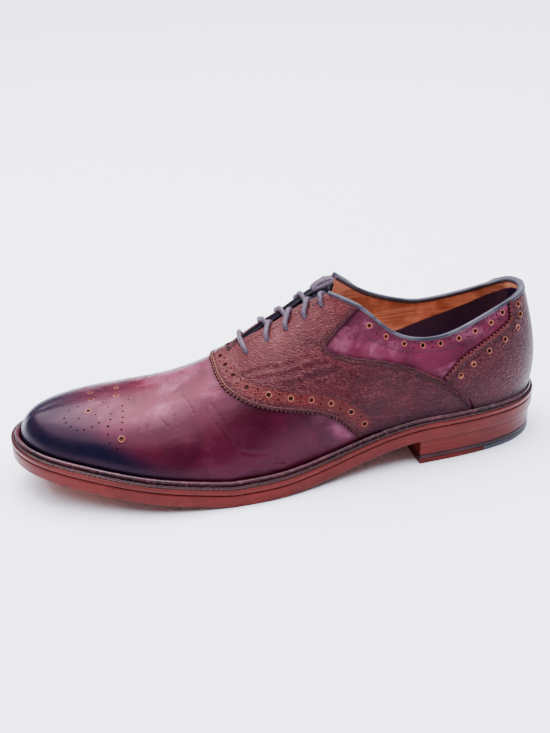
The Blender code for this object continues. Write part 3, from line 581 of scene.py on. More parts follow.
class Shader:
    """Small helper that builds one material's nodes."""

    def __init__(self, name: str) -> None:
        """Start a material with its Principled shader."""
        self.material = bpy.data.materials.new(name)
        self.material.use_nodes = True
        self.tree = self.material.node_tree
        self.surface = self.tree.nodes["Principled BSDF"]
        self.place = self.tree.nodes.new("ShaderNodeTexCoord").outputs["Object"]

    def node(self, kind: str, **values: object) -> bpy.types.Node:
        """Add a node; a value goes to the property of that name, and is skipped where there is none."""
        made = self.tree.nodes.new(kind)
        for key, value in values.items():
            if hasattr(made, key):
                setattr(made, key, value)
        return made

    def set(self, socket: bpy.types.NodeSocket, value: object) -> None:
        """Link a socket to an output, or give it a constant."""
        if isinstance(value, bpy.types.NodeSocket):
            self.tree.links.new(value, socket)
        else:
            socket.default_value = value

    def scaled(self, scale: tuple[float, float, float], turned: tuple[float, float, float] = (0, 0, 0),
               source: object = None) -> bpy.types.NodeSocket:
        """Object coordinates stretched by a scale and turned, in radians."""
        mapping = self.node("ShaderNodeMapping")
        self.set(mapping.inputs["Vector"], source or self.place)
        mapping.inputs["Scale"].default_value = scale
        mapping.inputs["Rotation"].default_value = turned
        return mapping.outputs["Vector"]

    def noise(self, scale: float, detail: float = 3.0, rough: float = 0.55, source: object = None,
              bend: float = 0.0) -> bpy.types.NodeSocket:
        """Fractal noise, 0..1."""
        made = self.node("ShaderNodeTexNoise")
        self.set(made.inputs["Vector"], source or self.place)
        made.inputs["Scale"].default_value = scale
        made.inputs["Detail"].default_value = detail
        made.inputs["Roughness"].default_value = rough
        made.inputs["Distortion"].default_value = bend
        return made.outputs["Fac"]

    def warped(self, scale: float, amount: float) -> bpy.types.NodeSocket:
        """Object coordinates pushed about by a soft noise, at most by half the amount in metres."""
        soft = self.node("ShaderNodeTexNoise")
        self.set(soft.inputs["Vector"], self.place)
        soft.inputs["Scale"].default_value = scale
        push = self.node("ShaderNodeVectorMath", operation="MULTIPLY_ADD")
        self.set(push.inputs[0], soft.outputs["Color"])
        push.inputs[1].default_value = (amount, amount, amount)
        self.set(push.inputs[2], self.place)
        return push.outputs["Vector"]

    def cells(self, scale: float, feature: str = "F1", source: object = None) -> bpy.types.NodeSocket:
        """Distance pattern of scattered cells."""
        made = self.node("ShaderNodeTexVoronoi", feature=feature)
        self.set(made.inputs["Vector"], source or self.place)
        made.inputs["Scale"].default_value = scale
        return made.outputs["Distance"]

    def attribute(self, name: str) -> bpy.types.NodeSocket:
        """A number that the mesh carries at its points."""
        return self.node("ShaderNodeAttribute", attribute_name=name).outputs["Fac"]

    def maths(self, operation: str, a: object, b: object = 0.0, clamp: bool = False) -> bpy.types.NodeSocket:
        """One sum or product of two numbers."""
        made = self.node("ShaderNodeMath", operation=operation, use_clamp=clamp)
        self.set(made.inputs[0], a)
        self.set(made.inputs[1], b)
        return made.outputs[0]

    def between(self, value: object, low: float, high: float, to_low: float = 0.0,
                to_high: float = 1.0) -> bpy.types.NodeSocket:
        """Value carried smoothly from one range to another, held at the ends."""
        made = self.node("ShaderNodeMapRange", interpolation_type="SMOOTHSTEP")
        self.set(made.inputs["Value"], value)
        for key, number in (("From Min", low), ("From Max", high), ("To Min", to_low), ("To Max", to_high)):
            made.inputs[key].default_value = number
        return made.outputs["Result"]

    def mix(self, share: object, first: object, second: object, blend: str = "MIX") -> bpy.types.NodeSocket:
        """Mix of two colours."""
        made = self.node("ShaderNodeMix", data_type="RGBA", blend_type=blend, clamp_factor=True)
        self.set(made.inputs["Factor"], share)
        self.set(made.inputs["A"], first)
        self.set(made.inputs["B"], second)
        return made.outputs["Result"]

    def bump(self, height: object, strength: float, distance: float,
             under: object = None) -> bpy.types.NodeSocket:
        """Bumped normal, laid over another one where given."""
        made = self.node("ShaderNodeBump")
        made.inputs["Strength"].default_value = strength
        made.inputs["Distance"].default_value = distance
        self.set(made.inputs["Height"], height)
        if under is not None:
            self.set(made.inputs["Normal"], under)
        return made.outputs["Normal"]

    def finish(self, colour: object, roughness: object, normal: object = None,
               **constants: float) -> bpy.types.Material:
        """Set the shader's colour, roughness, normal and constants, and return the material."""
        self.set(self.surface.inputs["Base Color"], colour)
        self.set(self.surface.inputs["Roughness"], roughness)
        if normal is not None:
            self.set(self.surface.inputs["Normal"], normal)
        for key, value in constants.items():
            self.surface.inputs[key.replace("_", " ").title().replace("Ior", "IOR")].default_value = value
        return self.material


@dataclass(frozen=True)
class PlumLeather:
    """Burnished smooth leather of the vamp and quarters, with painted shade and a painted dark reflection in
    its colour.
    """

    base: tuple = to_linear(78, 17, 39)
    light: tuple = to_linear(124, 68, 90)
    deep: tuple = to_linear(40, 6, 19)
    # Blue-black of the burnished toe, also laid on as a painted dark reflection on the toe's side and as
    # painted shade low by the welt.
    shade_and_burnish_tone: tuple = to_linear(2, 8, 25)
    tan: tuple = to_linear(158, 92, 66)
    sheen: tuple = (1.0, 0.50, 0.66, 1.0)

    def make(self) -> bpy.types.Material:
        """Mottled plum with fine pores and rubbed streaks, darkened where its attributes say by burnishing,
        painted shade and a painted dark reflection.
        """
        s = Shader("plum_leather")
        cloud = s.noise(26.0, 5.0, 0.6, bend=0.8)
        colour = s.mix(s.between(cloud, 0.34, 0.66), self.deep, self.base)
        patches = s.noise(60.0, 5.0, 0.65, s.scaled((1.0, 0.6, 1.2), (0.3, 0.0, 0.2)), 0.6)
        lit = s.between(s.attribute("shade"), 0.0, 0.6, 1.0, 0.42)
        lit = s.maths("MULTIPLY", s.between(patches, 0.48, 0.70, 0.0, 0.66), lit)
        colour = s.mix(lit, colour, self.light)
        streaks = s.noise(260.0, 4.0, 0.65, s.scaled((1.0, 0.12, 1.0), (0.5, 0.0, 0.3)))
        colour = s.mix(s.between(streaks, 0.60, 0.85, 0.0, 0.30), colour, self.light)
        broken = s.between(s.noise(150.0, 5.0, 0.65), 0.34, 0.62, 0.55, 1.0)
        colour = s.mix(s.maths("MULTIPLY", s.attribute("wear"), broken), colour, self.light)
        uneven = s.maths("MULTIPLY", s.maths("SUBTRACT", cloud, 0.5), 0.5)
        edge = s.maths("ADD", s.attribute("burnish"), uneven)
        colour = s.mix(s.maths("MULTIPLY", s.attribute("shade"), 0.95), colour, self.deep)
        # Burnished toe and foot, with a painted dark reflection and painted shade, toward the blue-black.
        colour = s.mix(s.between(edge, 0.15, 0.95, 0.0, 0.94), colour, self.shade_and_burnish_tone)
        colour = s.mix(s.attribute("tan"), colour, self.tan)
        rough = s.between(s.noise(60.0, 3.0), 0.3, 0.7, 0.26, 0.36)
        pores = s.bump(s.cells(1500.0), 0.08, 0.0002)
        folds = s.noise(260.0, 4.0, 0.6, s.scaled((1.0, 0.35, 1.0), (0.3, 0.0, 0.3)))
        normal = s.bump(folds, 0.10, 0.0005, pores)
        return s.finish(colour, rough, normal, specular_ior_level=0.16, specular_tint=self.sheen)


@dataclass(frozen=True)
class GrainLeather:
    """Pebble-grain leather of the saddles and the counter."""

    name: str
    base: tuple = to_linear(58, 15, 24)
    light: tuple = to_linear(98, 44, 46)
    deep: tuple = to_linear(26, 6, 14)
    # Colour laid on where 'shade' says: painted shade at the foot, and the dark edges and teeth.
    shade_and_burnish_tone: tuple = to_linear(18, 8, 20)
    warmer: tuple = to_linear(84, 28, 22)
    tan: tuple = to_linear(152, 94, 72)
    sheen: tuple = (1.0, 0.46, 0.50, 1.0)

    def make(self) -> bpy.types.Material:
        """Brown pebbles drawn out along the shoe, light on top and dark between, over soft cloudy patches."""
        s = Shader(self.name)
        bent = s.warped(150.0, 0.0026)
        pebbles = s.cells(880.0, "DISTANCE_TO_EDGE", s.scaled((1.0, 0.36, 1.0), (0.16, 0.0, 0.0), bent))
        fine = s.cells(1900.0, "F1", s.scaled((1.0, 0.6, 1.0), (0.22, 0.0, 0.0), bent))
        wrinkle = s.noise(420.0, 3.0, 0.6, s.scaled((1.0, 0.26, 1.1), (0.20, 0.0, 0.0)), 0.6)
        cloud = s.noise(40.0, 5.0, 0.62, s.scaled((1.0, 0.55, 1.3)), 1.0)
        colour = s.mix(s.between(cloud, 0.34, 0.62, 0.35, 1.0), self.deep, self.base)
        crown = s.between(pebbles, 0.02, 0.30)
        lit = s.maths("MULTIPLY", crown, s.between(wrinkle, 0.40, 0.68, 0.0, 0.55))
        colour = s.mix(lit, colour, self.light)
        colour = s.mix(s.between(pebbles, 0.0, 0.10, 0.45, 0.0), colour, self.deep)
        # Worn marks, and the painted highlights on the saddle's top and the seams' ridges, toward the light
        # colour.
        colour = s.mix(s.attribute("wear"), colour, self.light)
        colour = s.mix(s.maths("MULTIPLY", s.attribute("warm"), 0.45), colour, self.warmer)
        # Painted shade at the foot, and the dark edges and teeth, toward the darkest colour.
        colour = s.mix(s.maths("MULTIPLY", s.attribute("shade"), 0.85), colour, self.shade_and_burnish_tone)
        colour = s.mix(s.attribute("tan"), colour, self.tan)
        relief = s.maths("ADD", crown, s.maths("MULTIPLY", wrinkle, 1.2))
        normal = s.bump(relief, 0.55, 0.0005)
        normal = s.bump(fine, -0.20, 0.0002, normal)
        rough = s.between(wrinkle, 0.3, 0.7, 0.44, 0.36)
        return s.finish(colour, rough, normal, specular_ior_level=0.21, specular_tint=self.sheen,
                        coat_weight=0.02, coat_roughness=0.3)


@dataclass(frozen=True)
class SmoothLeather:
    """Plain leather with cloudy colour, fine pores and a little gloss; colours are screen colours, 0..255."""

    name: str
    base: tuple
    deep: tuple
    light: tuple
    roughness: float = 0.45
    coat: float = 0.05
    streaks: float = 0.4
    stretch: tuple = (1.0, 0.2, 1.0)
    shaded: tuple = None
    sheen: tuple = (1.0, 1.0, 1.0, 1.0)

    def make(self) -> bpy.types.Material:
        """Base mottled with deep, streaked with light along the stretch, dark where 'shade' says."""
        s = Shader(self.name)
        base, deep, light = (to_linear(*tone) for tone in (self.base, self.deep, self.light))
        shaded = to_linear(*(self.shaded or self.deep))
        cloud = s.noise(45.0, 4.0, 0.6)
        lines = s.noise(170.0, 4.0, 0.6, s.scaled(self.stretch), 0.3)
        colour = s.mix(s.between(cloud, 0.35, 0.65), deep, base)
        colour = s.mix(s.between(lines, 0.48, 0.75, 0.0, self.streaks), colour, light)
        colour = s.mix(s.between(s.attribute("shade"), 0.2, 0.8), colour, shaded)
        normal = s.bump(s.noise(900.0, 3.0), 0.12, 0.0002)
        normal = s.bump(lines, 0.10, 0.0003, normal)
        rough = s.between(cloud, 0.3, 0.7, self.roughness - 0.06, self.roughness + 0.06)
        return s.finish(colour, rough, normal, specular_ior_level=0.16, specular_tint=self.sheen,
                        coat_weight=self.coat, coat_roughness=0.3)


@dataclass(frozen=True)
class Thread:
    """Twisted thread or waxed cord, its twist along its own UV map; colours are screen colours, 0..255."""

    name: str
    base: tuple
    deep: tuple
    roughness: float = 0.6
    twist: float = 0.0

    def make(self) -> bpy.types.Material:
        """Fibres as fine noise, and slanted strands where the cord is twisted."""
        s = Shader(self.name)
        fibres = s.noise(1400.0, 3.0, 0.7)
        deep = to_linear(*self.deep)
        colour = s.mix(s.between(fibres, 0.35, 0.65), deep, to_linear(*self.base))
        height = fibres
        if self.twist:
            along = s.node("ShaderNodeUVMap", uv_map="cord").outputs["UV"]
            wave = s.node("ShaderNodeTexWave", wave_type="BANDS", bands_direction="DIAGONAL")
            s.set(wave.inputs["Vector"], along)
            wave.inputs["Scale"].default_value = self.twist
            wave.inputs["Distortion"].default_value = 1.0
            height = s.maths("ADD", s.maths("MULTIPLY", fibres, 0.4), wave.outputs["Fac"])
            colour = s.mix(s.between(wave.outputs["Fac"], 0.0, 0.45, 0.55, 0.0), colour, deep)
        normal = s.bump(height, 0.35, 0.0003)
        return s.finish(colour, self.roughness, normal, specular_ior_level=0.3)


@dataclass(frozen=True)
class Rubber:
    """Dark rubber of the heel, lightly dusty."""

    name: str = "heel_rubber"

    def make(self) -> bpy.types.Material:
        """Nearly black blue-grey with fine grain."""
        s = Shader(self.name)
        cloud = s.noise(70.0, 4.0)
        colour = s.mix(s.between(cloud, 0.3, 0.7), to_linear(14, 18, 26), to_linear(34, 42, 54))
        return s.finish(colour, s.between(cloud, 0.3, 0.7, 0.5, 0.7), s.bump(s.noise(1200.0), 0.2, 0.0002))


class Finishes:
    """All materials, made once and shared by the classes that dress the pieces."""

    def __init__(self) -> None:
        """Make every finish."""
        self.plum = PlumLeather().make()
        self.grain = GrainLeather("pebble_leather").make()
        self.lining = SmoothLeather("cognac_lining", (222, 152, 120), (156, 90, 66),
                                    (232, 178, 146), 0.42, 0.1, 0.6, (1.0, 0.12, 3.0),
                                    (22, 3, 56)).make()
        self.sole = SmoothLeather("sole_edge_leather", (84, 21, 19), (70, 14, 13),
                                  (116, 40, 33), 0.34, 0.05, 0.35, (1.0, 0.15, 3.0),
                                  None, (1.0, 0.55, 0.52, 1.0)).make()
        self.bottom = SmoothLeather("sole_bottom_leather", (150, 92, 66), (112, 62, 44),
                                    (188, 136, 100), 0.55, 0.0, 0.5, (1.0, 0.5, 1.0)).make()
        self.welt = SmoothLeather("welt_leather", (44, 12, 20), (20, 6, 12),
                                  (80, 36, 44), 0.42, 0.05, 0.5).make()
        self.bead = SmoothLeather("welt_bead_leather", (56, 18, 30), (24, 8, 14),
                                  (120, 74, 84), 0.28, 0.25, 0.5, (3.0, 3.0, 3.0),
                                  None, (1.0, 0.8, 0.85, 1.0)).make()
        self.piping = SmoothLeather("collar_piping", (56, 54, 66), (30, 28, 42),
                                    (92, 88, 100), 0.38, 0.1, 0.4).make()
        # The tongue's navy is made near black to paint the shade of the slit between the facings.
        self.tongue = SmoothLeather("tongue_leather", (6, 6, 18), (3, 3, 10),
                                    (12, 12, 28), 0.7, 0.0, 0.3, (1.0, 1.0, 1.0), None,
                                    (0.3, 0.35, 0.7, 1.0)).make()
        self.cut = SmoothLeather("cut_hole_leather", (118, 60, 42), (72, 32, 24),
                                 (168, 108, 82), 0.6, 0.0, 0.5).make()
        # Inked cut edges; the same dark brown also paints the shadow on the discs at the bottom of the holes.
        self.edge = SmoothLeather("inked_edge_and_hole_shadow", (70, 28, 24), (36, 12, 14),
                                  (96, 46, 36), 0.5, 0.0, 0.5).make()
        self.facing = SmoothLeather("facing_edge_leather", (26, 20, 36), (9, 8, 20),
                                    (60, 52, 68), 0.6, 0.0, 0.5).make()
        self.dark_thread = Thread("dark_thread", (34, 14, 22), (12, 5, 10)).make()
        self.light_thread = Thread("welt_thread", (84, 44, 44), (36, 14, 18)).make()
        self.lace = Thread("waxed_lace", (92, 76, 92), (46, 34, 50), 0.5, 3.0).make()
        self.rubber = Rubber().make()


def mesh_piece(name: str, points: np.ndarray, faces: np.ndarray, materials: list[bpy.types.Material],
               slots: np.ndarray = None, values: dict[str, np.ndarray] = None) -> bpy.types.Object:
    """Mesh object from arrays.

    Args:
        name: the piece's name.
        points: rows of x, y, z.
        faces: rows of three or four point numbers.
        materials: the piece's material slots.
        slots: slot number of each face.
        values: numbers carried at the points, by name.

    Returns:
        The object, shaded smooth and riding on the shoe's one body.
    """
    mesh = bpy.data.meshes.new(name)
    count, corners = faces.shape
    mesh.vertices.add(len(points))
    mesh.vertices.foreach_set("co", np.asarray(points, np.float32).ravel())
    mesh.loops.add(count * corners)
    mesh.loops.foreach_set("vertex_index", faces.astype(np.int32).ravel())
    mesh.polygons.add(count)
    mesh.polygons.foreach_set("loop_start", np.arange(0, count * corners, corners, dtype=np.int32))
    mesh.polygons.foreach_set("use_smooth", np.ones(count, bool))
    for material in materials:
        mesh.materials.append(material)
    if slots is not None:
        mesh.polygons.foreach_set("material_index", slots.astype(np.int32))
    for key, numbers in (values or {}).items():
        mesh.attributes.new(key, "FLOAT", "POINT").data.foreach_set("value", np.asarray(numbers, np.float32))
    mesh.update(calc_edges=True)
    mesh.validate()
    piece = bpy.data.objects.new(name, mesh)
    bpy.context.scene.collection.objects.link(piece)
    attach(piece, BODY)
    LOG.info("%s: %d points, %d faces", name, len(points), count)
    return piece


def close_ends(piece: bpy.types.Object, ring: int) -> None:
    """Close a swept piece's two ends, each a ring of 'ring' points, with one flat face each."""
    mesh = piece.data
    points = np.empty(len(mesh.vertices) * 3, np.float32)
    mesh.vertices.foreach_get("co", points)
    first = tuple(range(ring))
    last = tuple(len(mesh.vertices) - 1 - number for number in first)
    faces = [tuple(face.vertices) for face in mesh.polygons] + [first, last]
    fresh = bpy.data.meshes.new(mesh.name)
    fresh.from_pydata(points.reshape(-1, 3).tolist(), [], faces)
    for material in mesh.materials:
        fresh.materials.append(material)
    fresh.polygons.foreach_set("use_smooth", np.ones(len(fresh.polygons), bool))
    fresh.update()
    fresh.set_sharp_from_angle(angle=SHARP)
    piece.data = fresh


def tidy(piece: bpy.types.Object) -> bpy.types.Object:
    """Merge doubled points, drop flat faces and turn every face outwards."""
    form = bmesh.new()
    form.from_mesh(piece.data)
    bmesh.ops.remove_doubles(form, verts=form.verts, dist=2e-6)
    bmesh.ops.dissolve_degenerate(form, edges=form.edges, dist=1e-6)
    bmesh.ops.recalc_face_normals(form, faces=form.faces)
    form.to_mesh(piece.data)
    form.free()
    piece.data.set_sharp_from_angle(angle=SHARP)
    return piece


def grid_faces(numbers: np.ndarray) -> np.ndarray:
    """Four-sided faces of a grid of point numbers."""
    parts = (numbers[:-1, :-1], numbers[1:, :-1], numbers[1:, 1:], numbers[:-1, 1:])
    return np.stack(parts, axis=-1).reshape(-1, 4)


def swept(rows: np.ndarray, ring: bool, closed: bool) -> tuple[np.ndarray, np.ndarray]:
    """Points and faces of a profile carried along a path.

    Args:
        rows: array (stations, profile points, 3).
        ring: whether the profile closes on itself.
        closed: whether the path closes on itself.
    """
    numbers = np.arange(rows.shape[0] * rows.shape[1]).reshape(rows.shape[:2])
    if closed:
        numbers = np.concatenate([numbers, numbers[:1]])
    if ring:
        numbers = np.concatenate([numbers, numbers[:, :1]], axis=1)
    return rows.reshape(-1, 3), grid_faces(numbers)


def round_rows(path: np.ndarray, radius: np.ndarray, sides: int, out: np.ndarray) -> np.ndarray:
    """Rings of a tube: path + radius (cos a * side + sin a * up), with side = run x out, up = side x run."""
    run = unit(np.gradient(path, axis=0))
    side = unit(np.cross(run, out))
    up = np.cross(side, run)
    angle = circle(sides)
    ring = np.cos(angle)[:, None] * side[:, None, :] + np.sin(angle)[:, None] * up[:, None, :]
    return path[:, None, :] + ring * np.reshape(radius, (-1, 1, 1))


@dataclass
class Hole:
    """Punched hole at a place on the last, with a raised rim round it where the punch left one."""

    turn: float
    rise: float
    radius: float
    rim: float = 0.0

    @property
    def large(self) -> bool:
        """Whether it is one of the wide holes, which get a round outline."""
        return self.radius > 1.0 * MM

    @property
    def sides(self) -> int:
        """Points of its circle."""
        return 22 if self.large else 10

    @property
    def collars(self) -> tuple:
        """Distances past its radius at which the sheet has rings of points."""
        return (0.22 * MM, 0.44 * MM, 0.75 * MM) if self.large else (0.35 * MM,)

    def loop(self, radius: float, count: int) -> np.ndarray:
        """Circle on the surface as (turn, rise) rows."""
        angle = circle(count)
        centre = np.tile([[self.turn, self.rise]], (count, 1))
        return centre + LAST.to_form(centre, radius * np.cos(angle), radius * np.sin(angle))

    def centre(self, lift: float = 0.0) -> np.ndarray:
        """Its middle as a point."""
        return LAST.skin(np.array([self.turn]), np.array([self.rise]), lift)[0]


def large_holes(places: tuple, side: Side, radius: float = 1.3 * MM) -> list[Hole]:
    """Rimmed holes at outer places, put on a side."""
    return [Hole(t, w, radius, 0.22 * MM) for t, w in side.place(places)]


def small_pairs(places: tuple, side: Side, spread: float = 1.5 * MM, radius: float = 0.55 * MM) -> list[Hole]:
    """Pairs of small holes half way between large ones, set across their row."""
    large = side.place(places)
    middle = LAST.measured(large, 1.0 * MM)
    halfway = (large[1:] + large[:-1]) / 2
    holes = []
    for spot in halfway:
        number = int(np.argmin(np.abs(middle - spot).sum(axis=1)))
        number = min(max(number, 1), len(middle) - 2)
        near = middle[number - 1:number + 2]
        for way in (spread, -spread):
            t, w = LAST.shift(near, np.full(3, way))[1]
            holes.append(Hole(t, w, radius))
    return holes


Marks = Callable[[np.ndarray, np.ndarray, np.ndarray], tuple[np.ndarray, dict[str, np.ndarray]]]


@dataclass
class Sheet:
    """Leather sheet on the last: an outline in (turn, rise), its holes, and the lifts of its two faces.

    The faces are a constrained triangulation of the outline, its holes' circles and an even field of
    points; each point is then placed on the last at its lift, and the rims are joined.
    """

    name: str
    outline: np.ndarray
    holes: list[Hole]
    low: float
    high: float
    spacing: float
    skived: float = 0.0
    reach: tuple = (0.37, 0.10)
    guides: list[np.ndarray] = field(default_factory=list)
    crest_rounds: int = 24
    rim_place: float = 0.22 * MM
    rim_width: float = 0.40 * MM
    skive_width: float = 1.6 * MM

    def even_spots(self, border: np.ndarray) -> np.ndarray:
        """Even field of points inside the outline's box, in real lengths, off the border and the holes."""
        low, high = self.outline.min(axis=0), self.outline.max(axis=0)
        steps = np.array([self.spacing, self.spacing * 0.87]) / self.reach
        turns = np.arange(low[0], high[0], steps[0])
        rises = np.arange(low[1], high[1], steps[1])
        turn, rise = np.meshgrid(turns, rises, indexing="ij")
        turn = turn + (np.arange(len(rises)) % 2) * steps[0] / 2
        spots = np.column_stack([turn.ravel(), rise.ravel()])
        far = nearest(spots * self.reach, border * self.reach) > self.spacing * 0.55
        return spots[far]

    def triangles(self) -> tuple[np.ndarray, np.ndarray]:
        """Places and triangles of the cut sheet."""
        loops, rings, owner = [self.outline], [], [np.full(len(self.outline), -1)]
        for number, hole in enumerate(self.holes):
            loops.append(hole.loop(hole.radius, hole.sides))
            owner.append(np.full(hole.sides, number))
            rings += [hole.loop(hole.radius + grow, hole.sides) for grow in hole.collars]
        border = np.concatenate(loops + rings)
        if len(self.guides):
            lines = np.concatenate(self.guides)
            free = nearest(lines * self.reach, border * self.reach) > 0.28 * MM
            border = np.concatenate([border, lines[free & inside(lines, self.outline)]])
        edges, start = [], 0
        for loop in loops:
            numbers = np.arange(len(loop)) + start
            edges.append(np.column_stack([numbers, np.roll(numbers, -1)]))
            start += len(loop)
        spots = self.even_spots(border)
        kept = inside(spots, self.outline)
        for hole in self.holes:
            far = np.linalg.norm((spots - (hole.turn, hole.rise)) * self.reach, axis=1)
            kept &= far > 1.095445 * hole.radius
        places = np.concatenate([border, spots[kept]])
        owner = np.concatenate(owner + [np.full(len(places) - start, -1)])
        flat = [Vector(spot) for spot in (places * self.reach).tolist()]
        made = delaunay_2d_cdt(flat, np.concatenate(edges).tolist(), [], 1, 1e-7, True)
        back = np.array([origin[0] if origin else -1 for origin in made[3]])
        corners = back[np.array(made[2])]
        corners = corners[(corners >= 0).all(axis=1)]
        held = owner[corners]
        cut = (held[:, 0] >= 0) & (held[:, 0] == held[:, 1]) & (held[:, 1] == held[:, 2])
        kept = ~cut & inside(places[corners].mean(axis=1), self.outline)
        return places, corners[kept]

    def weld(self, places: np.ndarray, corners: np.ndarray) -> tuple[np.ndarray, np.ndarray]:
        """Join the two sides at the crest and at the heel, where one point has two places."""
        key = places.copy()
        key[:, 0] %= 2.0
        crest = (places[:, 1] > 1 - 1e-6) & (np.abs(LAST.signed(places[:, 0])) >= THROAT - 1e-6)
        key[crest, 0] = np.abs(LAST.signed(key[crest, 0]))
        _, first, joined = np.unique(key.round(6), axis=0, return_index=True, return_inverse=True)
        corners = joined.ravel()[corners]
        corners = corners[(corners != np.roll(corners, 1, axis=1)).all(axis=1)]
        used, corners = np.unique(corners, return_inverse=True)
        return places[first][used], corners.reshape(-1, 3)

    def relief(self, points: np.ndarray) -> np.ndarray:
        """Rims raised round the holes: a ridge that falls evenly to both sides of its middle."""
        raised = np.zeros(len(points))
        for hole in self.holes:
            if hole.rim:
                far = np.linalg.norm(points - hole.centre(), axis=1)
                near = np.abs(far - hole.radius - self.rim_place)
                raised = np.maximum(raised, hole.rim * np.clip(1 - near / self.rim_width, 0, 1))
        return raised

    def edge_slots(self, base: np.ndarray, places: np.ndarray, a: np.ndarray, b: np.ndarray) -> np.ndarray:
        """Material slot of each cut edge: 1 outside, 2 in a hole, 3 along the facings."""
        middle = (base[a] + base[b]) / 2
        slots = np.ones(len(a), int)
        for hole in self.holes:
            slots[np.linalg.norm(middle - hole.centre(), axis=1) < hole.radius * 1.15] = 2
        turn = np.abs(LAST.signed(places[a, 0]))
        slots[(places[a, 1] > 0.99) & (turn > FACING_TOP) & (turn < THROAT)] = 3
        return slots

    def eased(self, places: np.ndarray, corners: np.ndarray, base: np.ndarray) -> np.ndarray:
        """Points with the fold over the toe's crest evened out: rounds of averaging with the neighbours.

        Args:
            places: (turn, rise) of the points.
            corners: the triangles.
            base: the points on the last's face.

        Returns:
            The points, moved only near the toe's crest and never at an open edge.
        """
        pairs = np.concatenate([corners[:, [0, 1]], corners[:, [1, 2]], corners[:, [2, 0]]])
        pairs = np.sort(pairs, axis=1)
        pairs, used = np.unique(pairs, axis=0, return_counts=True)
        hold = fade(places[:, 1], 0.88, 0.95) * fade(np.abs(LAST.signed(places[:, 0])), 0.70, 0.76)
        hold[pairs[used == 1].ravel()] = 0.0
        count = np.maximum(np.bincount(pairs.ravel(), minlength=len(base)), 1)
        for _ in range(self.crest_rounds):
            total = np.zeros_like(base)
            np.add.at(total, pairs[:, 0], base[pairs[:, 1]])
            np.add.at(total, pairs[:, 1], base[pairs[:, 0]])
            base = base + 0.5 * hold[:, None] * (total / count[:, None] - base)
        return base

    def build(self, materials: list[bpy.types.Material], marks: Marks) -> bpy.types.Object:
        """Make the sheet as a closed mesh.

        Args:
            materials: of the face, the outer edge, the holes' walls and the facing's edge.
            marks: function of places, points and distances from the outline that returns the lift to
                add and the values to carry.

        Returns:
            The mesh object.
        """
        places, corners = self.weld(*self.triangles())
        base = self.eased(places, corners, LAST.face(places[:, 0], places[:, 1]))
        out = LAST.out_way(places[:, 0], places[:, 1])
        rim = LAST.face(self.outline[:, 0], self.outline[:, 1])
        edge = nearest(base, rim)
        more, values = marks(places, base, edge)
        skive = self.skived * np.clip(1 - edge / self.skive_width, 0, 1) ** 2
        lift = self.high + self.relief(base) - skive + more
        top = base + out * lift[:, None]
        low = base + out * self.low
        normal = np.cross(top[corners[:, 1]] - top[corners[:, 0]], top[corners[:, 2]] - top[corners[:, 0]])
        if (normal * out[corners[:, 0]]).sum() < 0:
            corners = corners[:, ::-1]
        pairs = np.concatenate([corners[:, [0, 1]], corners[:, [1, 2]], corners[:, [2, 0]]])
        code = pairs[:, 0].astype(np.int64) * len(places) + pairs[:, 1]
        turned = pairs[:, 1].astype(np.int64) * len(places) + pairs[:, 0]
        open_edges = pairs[~np.isin(code, turned)]
        a, b = open_edges[:, 0], open_edges[:, 1]
        n = len(places)
        wall = np.concatenate([np.column_stack([b, a, a + n]), np.column_stack([b, a + n, b + n])])
        faces = np.concatenate([corners, corners[:, ::-1] + n, wall])
        wall_slots = np.tile(self.edge_slots(base, places, a, b), 2)
        slots = np.concatenate([np.zeros(2 * len(corners), int), wall_slots])
        values = {key: np.concatenate([number, number]) for key, number in values.items()}
        piece = mesh_piece(self.name, np.concatenate([top, low]), faces, materials, slots, values)
        piece.data.set_sharp_from_angle(angle=SHARP)
        return piece


def gimped(path: np.ndarray, pitch: float, depth: float) -> np.ndarray:
    """Saw-tooth edge: the path moved to its left by depth * |sin(pi * distance / pitch)|."""
    fine = LAST.measured(path, pitch / 6)
    reach = np.arange(len(fine)) * pitch / 6
    tooth = depth * np.abs(np.sin(math.pi * reach / pitch))
    return LAST.shift(fine, tooth)


@dataclass
class StitchRow:
    """Row of stitches along a path on the last."""

    path: np.ndarray
    lift: float
    pitch: float = 2.1 * MM
    length: float = 1.55 * MM
    width: float = 0.55 * MM

    def stations(self) -> tuple[np.ndarray, np.ndarray, np.ndarray]:
        """Middle, running direction and outward direction of each stitch."""
        path = LAST.measured(self.path, self.pitch)
        points = LAST.skin(path[:, 0], path[:, 1], self.lift)
        run = unit(np.gradient(points, axis=0))
        out = LAST.out_way(path[:, 0], path[:, 1])
        return points, run, out


